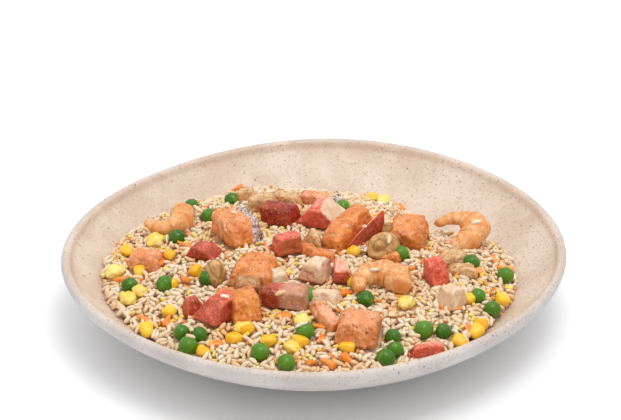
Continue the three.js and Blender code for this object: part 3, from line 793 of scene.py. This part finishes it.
def mussel_finish():
    made, tree, shader, coords = cooked("mussel_meat", 0.22, 1.8)
    flesh = mottled(tree, coords, 230, (176, 122, 62), (218, 172, 110))
    lined = marked(tree, flesh, "line", 0.6, (118, 80, 42))
    greened = marked(tree, lined, "brown", 0.35, (150, 118, 64))
    dress(tree, shader, coords, pepper_over(tree, coords, greened), 500.0, 0.2)
    return made


CRAB = crab_finish()
SURFACES = {  # the finish and the slot of each form
    "salmon": (salmon_finish(), "salmon"),
    "crab": (CRAB, "crab_stick"),
    "roof": (CRAB, "crab_stick"),
    "shrimp": (shrimp_finish(), "shrimp"),
    "fish": (fish_finish(), "fish"),
    "mussel": (mussel_finish(), "mussel"),
}
print("finishes:", ", ".join(finish.name for finish, _ in SURFACES.values()))

# %% [markdown]
# ## Laying the toppings
# Each row gives a piece's form, its place in the plan, its size and its turn, pitch and roll, as in the solids.
# Its height isn't listed: the finished piece goes up or down until its top is level with its solid's top.
# `flesh` and `dark` give the direction that a pale cut face or a browned face looks in, and at what cosines it
# begins and is full. `cut` does the same for salmon skin or crab flesh that starts at a place along one axis of
# the piece, and says how much of it there is. `tint` says how dark or pink the whole piece is.
# On top of that, each face's `tint` gets painted light and shade from how far it turns from straight up.

# %% Table of toppings
TOPPINGS = [
    ("salmon_1", "salmon", (-32, -31), (28, 26, 10), (-12, 0, 4), {"tint": 0.1}),
    ("salmon_2", "salmon", (-44, 14), (30, 23, 15), (-56, 0, -10), {"tint": 0.3, "cut": (1, 0.13, 0.17, 1)}),
    ("salmon_3", "salmon", (21, -82.5), (26, 23, 14), (-8, 0, 8), {"tint": 0.6, "dark": ((0.95, 0, 0.3), 0.6, 0.95)}),
    ("salmon_4", "salmon", (50, 12.5), (24, 21, 13), (76, -6, 0), {"tint": 0.2}),
    ("salmon_5", "salmon", (-91, -9), (20, 19, 9), (-20, 0, 6), {"tint": 0.7}),
    ("salmon_6", "salmon", (4, 61), (27, 12, 9), (-12, 0, 0), {"tint": 0.9, "cut": (0, 0.2, 0.24, 1)}),
    ("salmon_7", "salmon", (-37, -64), (17, 19, 14), (20, 0, 0), {"tint": 0.0}),
    ("salmon_8", "salmon", (16, 11), (40, 14, 13), (58, -8, 0), {"tint": 0.0}),
    ("salmon_9", "salmon", (-47, -52), (12, 10, 9), (10, 0, 0), {"tint": 0.1}),
    ("salmon_10", "salmon", (4, -70), (24, 8, 7), (-60, 6, 0), {"tint": 0.8}),
    ("shrimp_1", "shrimp", (-79, 32), (20, 30, 13), (-48, 4, 184), {}),
    ("shrimp_2", "shrimp", (81.5, 22), (29, 27, 13), (20, -10, 26), {"sweep": 245, "thick": 0.72}),
    ("shrimp_3", "shrimp", (33, -39.5), (24, 32, 15), (100, 0, 0), {}),
    ("fish_1", "fish", (-30, 51), (20, 16, 10), (8, 0, 0), {"tint": 0.25}),
    ("fish_2", "fish", (-40, 67), (10, 11, 10), (0, 0, 0), {}),
    ("fish_3", "fish", (73, -5), (18, 12, 7), (15, 0, 0), {"tint": 0.05}),
    ("fish_4", "fish", (77, -17), (19, 10, 6), (-5, 0, 0), {}),
    ("fish_5", "fish", (-17, 62), (23, 12, 9), (-10, 0, 0), {"dark": ((-1, 0, 0.1), 0.6, 0.95)}),
    ("mussel_1", "mussel", (-53, -30), (17, 11, 15), (-75, 0, 0), {"lengthwise": True, "folds": 0.03}),
    ("mussel_3", "mussel", (40, 21), (10, 8, 8), (10, 0, 0), {}),
    ("mussel_2", "mussel", (36, -6), (19, 14, 16), (45, 0, -20), {"middle": (-0.67, -0.58, 0.46)}),
    ("crab_stick_1", "crab", (-20, 31), (18, 16, 12), (-18, 0, 0), {"tint": 1.1}),
    ("crab_stick_2", "roof", (3, 28), (34, 20, 16), (-14, 0, 0), {
        "tint": -0.4, "browned": 0.1, "flesh": ((0.9, -0.3, 0.25), 0.3, 0.6),
    }),
    ("crab_stick_3", "crab", (-16, -5), (15, 16, 12), (30, 0, -8), {"dark": ((0.75, -0.65, -0.1), 0.6, 0.85)}),
    ("crab_stick_4", "crab", (-60, -6), (19, 14, 8), (-25, 0, 0), {"tint": 0.55}),
    ("crab_stick_5", "crab", (-64, -57), (12, 11, 9), (40, 0, 0), {"tint": 0.6}),
    ("crab_stick_6", "crab", (-49, -65), (16, 17, 13), (-38, 0, 0), {"tint": 0.35}),
    ("crab_stick_7", "crab", (-15, -57), (24, 14, 11), (-14, 0, 0), {"tint": 0.9, "cut": (0, -0.2, 0.0, 0.4)}),
    ("crab_stick_8", "crab", (62, -29), (11, 11, 18), (42, 0, 0), {"tint": -0.3, "browned": 0.3}),
    ("crab_stick_9", "crab", (55, -89), (19, 9, 7), (18, 0, 0), {"flesh": ((0.3, 0.7, 0.6), 0.5, 0.9)}),
    ("crab_stick_10", "crab", (70, -47), (12, 14, 11), (-40, 0, 0), {"flesh": ((0, -0.4, 0.9), -0.7, 0.1)}),
    ("crab_stick_11", "crab", (0, -33), (15, 16, 12), (-22, 0, 0), {"flesh": ((0.2, -0.5, 0.9), 0.0, 0.6)}),
    ("crab_stick_12", "crab", (4, -54.5), (19, 12, 8), (-12, 0, 0), {"flesh": ((0, 0, 1), -1, 0)}),
    ("crab_stick_13", "crab", (13, -32.5), (10, 17, 11), (10, 0, 0), {"flesh": ((0.8, 0, 0.6), 0.2, 0.9)}),
    ("crab_stick_14", "crab", (-20, -36), (13, 10, 8), (25, 0, 0), {"flesh": ((0, 0, 1), -1, 0)}),
    ("salmon_11", "salmon", (0, -11), (24, 6, 5), (-37, 0, 0), {"tint": 0.1}),
    ("salmon_12", "salmon", (39, -13), (12, 8, 6), (20, 0, 0), {"tint": 0.0}),
    ("fish_6", "fish", (-35.5, -46.5), (16, 17, 11), (-10, 0, 0), {"tint": 0.7}),
    ("fish_7", "fish", (-1.5, 3), (15, 10, 8), (-15, 0, 0), {"tint": 0.1}),
    ("crab_stick_15", "crab", (25, 8), (37, 5, 19), (50, -16, 24), {"flesh": ((-0.3, -0.2, 0.95), 0.75, 0.95)}),
]


# %% Laying them
# How much each form's tint shifts as a face turns from straight up: painted light and shade, with paler pink salmon
# tops and darker crab stick and fish sides.
PAINTED_SHADE_BY_FACING = {"salmon": 0.3, "crab": -0.3, "roof": -0.1, "fish": -0.2, "mussel": 0, "shrimp": 0}
NOWHERE = ((0, 0, 1), 2, 3)  # a face never looks this way, since no cosine reaches 2
NO_CUT = (0, 2, 3, 0)


def facing(vert, index, aim):
    """How much a point looks in a direction, with a ragged border."""
    direction, low, high = aim
    return smoothstep(vert.normal.dot(Vector(direction).normalized()) + 0.15 * rough(vert.co, 2.5, index), low, high)


def make_topping(index, name, form, place, size, angles, look):
    """Makes one topping, lays it level with its solid and marks its cut faces, browned faces and tint. The tint also
    gets painted light and shade from how each face turns: salmon is paler pink on top, crab stick and fish are darker
    on their sides.
    """
    bm = FORMS[form](size, index + 1, look)
    shares = [[c / side for c, side in zip(vert.co, size)] for vert in bm.verts]
    turn, pitch, roll = (math.radians(a) for a in angles)
    upright = Matrix.Rotation(turn, 4, "Z") @ Matrix.Rotation(pitch, 4, "Y") @ Matrix.Rotation(roll, 4, "X")
    bmesh.ops.transform(bm, matrix=Matrix.Translation((*place, 0)) @ upright, verts=bm.verts)
    top = max(vert.co.z for vert in bm.verts)
    bmesh.ops.translate(bm, vec=(0, 0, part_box(name)[1][2] / MM - top), verts=bm.verts)
    bm.normal_update()
    flesh_layer, tint_layer = layers(bm, "flesh", "tint")
    brown_layer = bm.verts.layers.float["brown"]
    axis, start, end, most = look.get("cut", NO_CUT)
    for vert, share in zip(bm.verts, shares):
        beyond = most * smoothstep(share[axis] + 0.06 * rough(vert.co, 2.5, index), start, end)
        vert[flesh_layer] = max(facing(vert, index, look.get("flesh", NOWHERE)), beyond)
        vert[brown_layer] = max(vert[brown_layer], facing(vert, index, look.get("dark", NOWHERE)))
        # Painted light and shade: the tint shifts with how far the face turns from straight up.
        painted_facing_shade = PAINTED_SHADE_BY_FACING[form] * (vert.normal.z - 0.6)
        vert[tint_layer] = min(1, max(0, look.get("tint", 0) + painted_facing_shade + 0.5 * rough(vert.co, 6, index)))
    return put(to_mesh(bm), "cooked_" + name, *SURFACES[form], [name])


toppings = [make_topping(index, *row) for index, row in enumerate(TOPPINGS)]
print("toppings:", len(toppings), "faces", sum(len(piece.data.polygons) for piece in toppings))

# %% [markdown]
# ## Joined meshes of many small things
# Peas, kernels, crumbs and grains come by the dozen or the thousand. Each kind is one object: a small form is
# made once as a bmesh, and its points are copied for every place by array arithmetic, which is much faster
# than thousands of objects. `tone` is a random number for each, so that no two have quite the same colour.

# %% Copying a small form
random = np.random.default_rng(20)


def form_arrays(bm):
    """The points of a bmesh and the corners of its faces, all as triangles."""
    bmesh.ops.triangulate(bm, faces=bm.faces)
    bm.verts.index_update()
    points = np.array([vert.co for vert in bm.verts])
    faces = np.array([[vert.index for vert in face.verts] for face in bm.faces])
    bm.free()
    return points, faces


def round_form(across, along_axis):
    """A sphere of radius 1 whose poles are on the X axis."""
    bm = bmesh.new()
    bmesh.ops.create_uvsphere(bm, u_segments=across, v_segments=along_axis, radius=1)
    bmesh.ops.rotate(bm, cent=(0, 0, 0), matrix=Matrix.Rotation(math.pi / 2, 3, "Y"), verts=bm.verts)
    return form_arrays(bm)


def joined(copies, faces):
    """One mesh of all the copies: an array of shape (copies, points, 3), with the faces of one."""
    count, points = copies.shape[:2]
    mesh = bpy.data.meshes.new("piece")
    every_face = (faces[None] + (np.arange(count) * points)[:, None, None]).reshape(-1, 3)
    mesh.vertices.add(count * points)
    mesh.vertices.foreach_set("co", copies.astype(np.float32).ravel())
    mesh.loops.add(every_face.size)
    mesh.loops.foreach_set("vertex_index", every_face.astype(np.int32).ravel())
    mesh.polygons.add(len(every_face))
    mesh.polygons.foreach_set("loop_start", np.arange(0, every_face.size, 3, dtype=np.int32))
    mesh.update(calc_edges=True)
    tone = mesh.attributes.new("tone", "FLOAT", "POINT")
    tone.data.foreach_set("value", np.repeat(random.random(count), points).astype(np.float32))
    return mesh


def turned(points, yaw, pitch=0.0, roll=0.0):
    """Points turned by roll about their length, then pitched up, then turned in the plan."""
    matrix = np.array(Euler((roll, -pitch, yaw), "XYZ").to_matrix())
    return points @ matrix.T


# %% [markdown]
# ## Peas, sweetcorn, carrot and egg
# These lie half in the rice where the dish shows them. A cooked pea is a ball with faint dimples, a kernel is a
# cushion that narrows to a pale tip, carrot comes in small torn dice and scrambled egg in soft lumps.

# %% Places of the small things
PEAS = [
    (-60, 42), (-48, 66), (15, 51), (-57, -33), (-98, -32), (-68, -78), (-59, -81), (-64, -89), (-28, -97),
    (-15, -105), (-6, -82), (25, -54), (45, -8), (38, -83), (39, -92), (34, -99), (54, -75), (64, -74),
    (91, -49), (84, -40), (101, -14), (-76, 15), (-4, -53), (-71, 64), (-79, -35), (83, -8),
]
KERNELS = [
    (-94, -18), (-76, -34), (-75, -59), (-86, -72), (-56, -93), (-35, -79), (-41, -85), (-24, -88), (-8, -89),
    (19, -38), (20, -8), (97, -37), (84, -62), (81, -69), (72, -79), (80, -42), (15, -92), (-103, 8),
    (-79, -4), (-64, -24),
]
EGG_CRUMBS = [
    (33, 83), (39, 79), (-92, -38), (-98, -43), (-107, -15), (-88, 16), (-7, -73), (46, -54), (-37, -77),
    (-12, -93),
]
SHREDS = [
    (-104, -22), (-88, -62), (-76, -66), (-68, -30), (-71, 7), (-51, -88), (-35, -71), (-17, -68), (1, -77),
    (2, -87), (-2, -103), (5, -103), (49, -20), (43, -49), (16, -48), (49, 77), (97, 2), (101, -5), (84, -14),
    (77, -67), (15, -100), (72, -52), (-83, -11), (-46, 96),
]


def on_heap(points, place, height, sunk=0.3):
    """Sets a small thing on the heap with a share of its height in the rice."""
    x, y = place
    return points + np.array([x, y, heap_height(x, y) + height * (0.5 - sunk)])


def wrinkled(points, amount, scale, seed):
    """Points moved in and out by smooth noise."""
    shift = [1 + amount * rough(point, scale, seed) for point in points]
    return points * np.array(shift)[:, None]


# %% Their forms
PEA_RADIUS = 4.6
KERNEL_SIZE = (4.3, 3.5, 2.9)  # half its length, width and height, as in the two below
EGG_CRUMB_SIZE = (5.2, 4.4, 3.6)
SHRED_SIZE = (3.8, 2.3, 1.7)


def peas():
    base, faces = round_form(18, 12)
    radii = PEA_RADIUS * random.uniform(0.9, 1.08, len(PEAS))
    return [on_heap(wrinkled(base, 0.06, 0.7, i) * r, PEAS[i], 2 * r) for i, r in enumerate(radii)], faces


def kernels():
    base, faces = round_form(14, 12)
    shares = np.sign(base) * np.abs(base) ** 0.6
    narrow = 1 + 0.28 * np.clip(-shares[:, :1], -1, 0.4)
    form = shares * np.array(KERNEL_SIZE) * np.hstack([np.ones_like(narrow), narrow, narrow])
    made = []
    for place in KERNELS:
        kernel = form * random.uniform(0.85, 1.1)
        made.append(on_heap(turned(kernel, *random.uniform(-3, 3, 1), *random.uniform(-0.5, 0.5, 2)), place, 5.6))
    return made, faces


def egg_crumbs():
    base, faces = round_form(20, 16)
    made = []
    for i, place in enumerate(EGG_CRUMBS):
        lump = wrinkled(wrinkled(base, 0.35, 0.9, i), 0.22, 0.35, i + 50)
        sized = lump * np.array(EGG_CRUMB_SIZE) * random.uniform(0.8, 1.15)
        made.append(on_heap(turned(sized, random.uniform(0, 6)), place, 6))
    return made, faces


def shreds():
    bm = bmesh.new()
    bmesh.ops.create_cube(bm, size=2)
    bmesh.ops.bevel(bm, geom=bm.edges[:], offset=0.35, segments=2, affect="EDGES", profile=0.5, material=-1)
    base, faces = form_arrays(bm)
    narrow = 1 - 0.35 * (1 + base[:, :1])
    pointed = np.hstack([np.ones_like(narrow), narrow, narrow])
    made = []
    for i, place in enumerate(SHREDS):
        size = np.array(SHRED_SIZE) * random.uniform(0.75, 1.25, 3)
        shred = wrinkled(base, 0.25, 0.9, i) * pointed * size
        made.append(on_heap(turned(shred, random.uniform(0, 6), *random.uniform(-0.4, 0.4, 2)), place, 2.8))
    return made, faces


# %% Their finishes
def toned(tree, low, high):
    """A colour of its own for each small thing."""
    return mix(tree, attribute(tree, "tone"), srgb(*low), srgb(*high))


def small_finish(name, low, high, patches, roughness, scale, depth):
    """A moist finish: each thing has its tone, with patches of a third colour."""
    made, tree, shader, coords = cooked(name, roughness, 1.5)
    spots = add(tree, "TexNoise", {"Vector": coords, "Scale": 260.0, "Detail": 3.0})
    mask = between(tree, spots.outputs["Fac"], 0.5, 0.75)
    dress(tree, shader, coords, tinted(tree, toned(tree, low, high), mask, 0.6, patches), scale, depth)
    return made


pea_finish = small_finish("green_pea", (54, 100, 10), (92, 142, 26), (122, 164, 52), 0.16, 420.0, 0.16)
corn_finish = small_finish("sweetcorn", (240, 176, 20), (248, 202, 52), (250, 222, 116), 0.25, 250.0, 0.12)
carrot_finish = small_finish("carrot", (238, 132, 44), (246, 162, 78), (248, 184, 112), 0.35, 350.0, 0.2)
egg_finish = small_finish("scrambled_egg", (244, 204, 82), (250, 226, 130), (252, 238, 176), 0.45, 300.0, 0.4)

small_pieces = []
for name, make, finish in (
    ("peas", peas, pea_finish),
    ("sweetcorn", kernels, corn_finish),
    ("egg_crumbs", egg_crumbs, egg_finish),
    ("carrot_shreds", shreds, carrot_finish),
):
    copies, faces = make()
    small_pieces.append(put(joined(np.stack(copies), faces), name, finish, "rice"))
    print(name, len(copies))

# %% [markdown]
# ## Core of the rice
# Under the grains that show there is only more rice, so a closed core stands for it. Its top lies a grain or two
# below the heap's surface and is bumpy, so that a gap between grains shows rice and not a smooth floor.
# A thin double disc is spun from a profile, and each of its points is then lifted to the heap's or bowl's height.

# %% Rice finish
def rice_finish():
    """Creamy, slightly glassy grains, each with its tone, here and there stained golden by the pan."""
    made, tree, shader, coords = cooked("cooked_rice", 0.35, 1.5)
    shader.inputs["Subsurface Weight"].default_value = 0.5
    shader.inputs["Subsurface Radius"].default_value = (1.0, 0.9, 0.8)
    cream = toned(tree, (230, 202, 166), (245, 226, 200))
    pan = add(tree, "TexNoise", {"Vector": coords, "Scale": 70.0, "Detail": 5.0})
    colour = tinted(tree, cream, between(tree, pan.outputs["Fac"], 0.44, 0.7), 0.7, (230, 176, 112))
    dress(tree, shader, coords, pepper_over(tree, coords, colour, 0.03), 700.0, 0.06)
    return made


RICE = rice_finish()
print("rice finish:", RICE.name)

# %% Core
CORE_DEPTH = 2.0
CORE_MARGIN = 2.5  # how far it stays behind the edge of the grains
CORE_RINGS = 80
CORE_STEPS = 260
# The core takes a tone a little deeper than the grains' middle one: painted shade for the gaps between grains.
CORE_PAINTED_SHADE_TONE = 0.35


def core_height(x, y, low):
    """The core's top: below the heap's surface, and bumpy at the size of grains."""
    relief = 1.0 * rough((x, y, 0), 2.6, 1) + 0.5 * rough((x, y, 0), 1.3, 2)
    return max(low + 0.4, float(heap_height(x, y)) - CORE_DEPTH + relief)


def make_core():
    top = [(share, 1) for share in np.linspace(0, 1, CORE_RINGS)]
    underside = [(share, 0) for share in np.linspace(1, 0, CORE_RINGS // 5)]
    bm = bmesh.new()
    chain = [bm.verts.new((share, 0, level)) for share, level in top + underside]
    spin_round(bm, chain, CORE_STEPS, 1e-4)
    for vert in bm.verts:
        share, angle = math.hypot(vert.co.x, vert.co.y), math.atan2(vert.co.y, vert.co.x)
        reach = share * (float(fill_radius(angle)) - CORE_MARGIN)
        x, y = reach * math.cos(angle), reach * math.sin(angle)
        low = float(inside_height(x, y)) + GAP
        vert.co = (x, y, core_height(x, y, low) if vert.co.z > 0.5 else low)
    mesh = to_mesh(bm)
    tone = mesh.attributes.new("tone", "FLOAT", "POINT")
    tone.data.foreach_set("value", np.full(len(mesh.vertices), CORE_PAINTED_SHADE_TONE, dtype=np.float32))
    return put(mesh, "rice_core", RICE, "rice", ["rice"])


core = make_core()
print("core:", len(core.data.polygons), "faces")

# %% [markdown]
# ## Laying the rice
# Cooked grains lie where they fall: each one comes to rest on what is under it, at the lowest pitch it can find.
# A height map of the dish, one number for each half millimetre, makes that quick to work out. Rays from above
# fill it with the core, the toppings and the small things. Each new grain is laid on it and then raises it.
# The shrimps stand on the edge of their bend, so grains are laid under them first.

# %% Height map
CELL = 0.5
HALF = 118.0  # the map reaches this far from the middle, in mm
ABOVE = 0.2  # the rays start this high, in metres
cells = np.arange(-HALF + CELL / 2, HALF, CELL)
plan_x, plan_y = np.meshgrid(cells, cells, indexing="ij")


def raise_to(heights, piece):
    """Raises the height map to the top of a piece."""
    mesh = piece.data
    tree = BVHTree.FromPolygons([vert.co for vert in mesh.vertices], [face.vertices for face in mesh.polygons])
    points = np.array([vert.co for vert in mesh.vertices])[:, :2] / MM - np.array(SHIFT)[:2]
    low = np.maximum(0, ((points.min(axis=0) + HALF) / CELL).astype(int))
    high = np.minimum(len(cells) - 1, ((points.max(axis=0) + HALF) / CELL).astype(int) + 1)
    for i in range(low[0], high[0] + 1):
        for j in range(low[1], high[1] + 1):
            start = ((cells[i] + SHIFT.x) * MM, (cells[j] + SHIFT.y) * MM, ABOVE)
            hit = tree.ray_cast(start, (0, 0, -1))[0]
            if hit:
                heights[i, j] = max(heights[i, j], hit.z / MM)


angles, reaches = np.arctan2(plan_y, plan_x), np.hypot(plan_x, plan_y)
on_plan = reaches < fill_radius(angles) - 0.5
heights = np.array(inside_height(plan_x, plan_y))
raise_to(heights, core)
bare_heights = heights.copy()
shrimps = [piece for piece in toppings if "shrimp" in piece.name]
for piece in [*toppings, *small_pieces]:
    if piece not in shrimps:
        raise_to(heights, piece)
covered = heights > bare_heights + 0.3
coarse = np.array([[rough((x, y, 0), 8, 4) for y in cells[::4]] for x in cells[::4]])
uneven = coarse.repeat(4, axis=0).repeat(4, axis=1)
target = np.where(on_plan, heap_height(plan_x, plan_y) - 0.4 + 1.3 * uneven, -1)
print("height map:", heights.shape, "highest", round(float(heights.max()), 1), "mm")

# %% Laying one grain
KINDS = {  # the share of each kind, its length and its width in mm
    "rice_grains": (0.64, (4.8, 7.0), (2.3, 3.0)),
    "broken_rice": (0.15, (3.0, 4.6), (2.3, 3.0)),
    "carrot_bits": (0.08, (1.6, 3.4), (1.2, 2.2)),
    "egg_bits": (0.08, (2.0, 4.2), (1.8, 3.0)),
    "toasted_bits": (0.05, (1.5, 3.0), (1.0, 1.7)),
}
SHARES = [share for share, *_ in KINDS.values()]
SLOPES = np.linspace(-0.75, 0.75, 16)
ALONG = np.array([-0.44, -0.22, 0, 0.22, 0.44])


def index_of(value):
    """The cell of the height map that a place in mm is in."""
    return np.clip(((value + HALF) / CELL).astype(int), 0, len(cells) - 1)


def resting(x, y, yaw, length, width):
    """Height of a grain's middle and its slope, where it lies lowest on what is under it."""
    reach = ALONG * length
    c, s = math.cos(yaw), math.sin(yaw)
    across = np.array([-0.25, 0.25])[:, None] * width
    found = heights[index_of(x + reach * c - across * s), index_of(y + reach * s + across * c)].max(axis=0)
    middles = (found[None] - SLOPES[:, None] * reach[None]).max(axis=1)
    best = int(middles.argmin())
    return middles[best] - 0.02 * width, SLOPES[best]


def lay(x, y, z, yaw, slope, length, width):
    """Raises the height map to the top of a grain."""
    span = length / 2 + CELL
    i0, i1 = index_of(np.array([x - span, x + span]))
    j0, j1 = index_of(np.array([y - span, y + span]))
    dx, dy = plan_x[i0 : i1 + 1, j0 : j1 + 1] - x, plan_y[i0 : i1 + 1, j0 : j1 + 1] - y
    along, across = dx * math.cos(yaw) + dy * math.sin(yaw), dy * math.cos(yaw) - dx * math.sin(yaw)
    inside = 1 - (2 * along / length) ** 2 - (2 * across / width) ** 2
    top = z + slope * along + 0.45 * width * np.sqrt(np.maximum(0, inside))
    window = heights[i0 : i1 + 1, j0 : j1 + 1]
    np.maximum(window, np.where(inside > 0, top, -1), out=window)
    covered[i0 : i1 + 1, j0 : j1 + 1] |= inside > 0


def one_grain(x, y, limit):
    """Tries to lay a grain near a point. Returns its row, or None where it would stand too high."""
    kind = str(random.choice(list(KINDS), p=SHARES))
    _, lengths, widths = KINDS[kind]
    length, width, yaw = random.uniform(*lengths), random.uniform(*widths), random.uniform(0, math.pi)
    z, slope = resting(x, y, yaw, length, width)
    if z > limit:
        return None
    lay(x, y, z, yaw, slope, length, width)
    return kind, x, y, z, yaw, slope, length, width


# %% Laying them all
GRAINS = 7000
LOOSE = 14
ROUNDS = 60
TRIES = 500  # in each round
FEW_GAPS = 300  # cells that may stay open
grains = []
for _ in range(ROUNDS):
    gaps = np.argwhere(on_plan & ((heights < target - 1.0) | ~covered))
    if len(gaps) < FEW_GAPS or len(grains) > GRAINS:
        break
    for i, j in gaps[random.integers(len(gaps), size=TRIES)]:
        x, y = cells[i] + random.uniform(-1, 1), cells[j] + random.uniform(-1, 1)
        grain = one_grain(x, y, target[i, j] + 1.1)
        if grain:
            grains.append(grain)
laid_in_heap = len(grains)
for piece in shrimps:
    raise_to(heights, piece)
tops = np.argwhere((heights > target + 2.5) & on_plan)
for i, j in tops[random.integers(len(tops), size=LOOSE)]:
    grain = one_grain(cells[i], cells[j], heights[i, j] + 0.9)
    if grain:
        grains.append(grain)
print("grains:", laid_in_heap, "in the heap,", len(grains) - laid_in_heap, "loose, open cells", len(gaps))


# %% Grain form
def rotated(first, second, angle):
    """Two coordinates turned by an angle in their plane."""
    c, s = np.cos(angle), np.sin(angle)
    return first * c - second * s, first * s + second * c


def grain_mesh(rows, ragged):
    """Grains with blunt ends, slightly bent, each turned and pitched into its place. Ragged ones are misshapen."""
    base, faces = round_form(5, 5)
    ring = np.hypot(base[:, 1], base[:, 2])[:, None]
    fuller = np.where(ring > 1e-6, np.maximum(ring, 1e-6) ** -0.25, 1)
    base = base * np.hstack([np.ones_like(fuller), fuller, fuller])
    x, y, z, yaw, slope, length, width = np.array([row[1:] for row in rows]).T[:, :, None]
    copies = base[None] * np.stack([length, width, 0.9 * width], axis=2) / 2
    copies *= 1 + ragged * random.uniform(-1, 1, (*copies.shape[:2], 1))
    bend = 0.06 * random.uniform(-1, 1, len(rows))[:, None]
    roll = random.uniform(0, 2 * math.pi, len(rows))[:, None]
    ahead, side, up = np.moveaxis(copies, 2, 0)
    side, up = rotated(side + bend * ahead**2, up, roll)
    ahead, up = rotated(ahead, up, np.arctan(slope))
    ahead, side = rotated(ahead, side, yaw)
    return joined(np.stack([x + ahead, y + side, z + up], axis=2), faces)


# %% Grains
MOST = 4990  # of one kind, which keeps its mesh under 200,000 triangles
toasted_finish = small_finish("toasted_bits", (120, 66, 28), (176, 108, 50), (90, 48, 22), 0.5, 300.0, 0.2)
GRAIN_FINISHES = {
    "rice_grains": (RICE, 0.03),
    "broken_rice": (RICE, 0.12),
    "carrot_bits": (carrot_finish, 0.25),
    "egg_bits": (egg_finish, 0.3),
    "toasted_bits": (toasted_finish, 0.3),
}
for name, (finish, ragged) in GRAIN_FINISHES.items():
    rows = [row for row in grains if row[0] == name][:MOST]
    piece = put(grain_mesh(rows, ragged), name, finish, "rice")
    print(name, len(rows), "pieces,", len(piece.data.polygons), "faces")
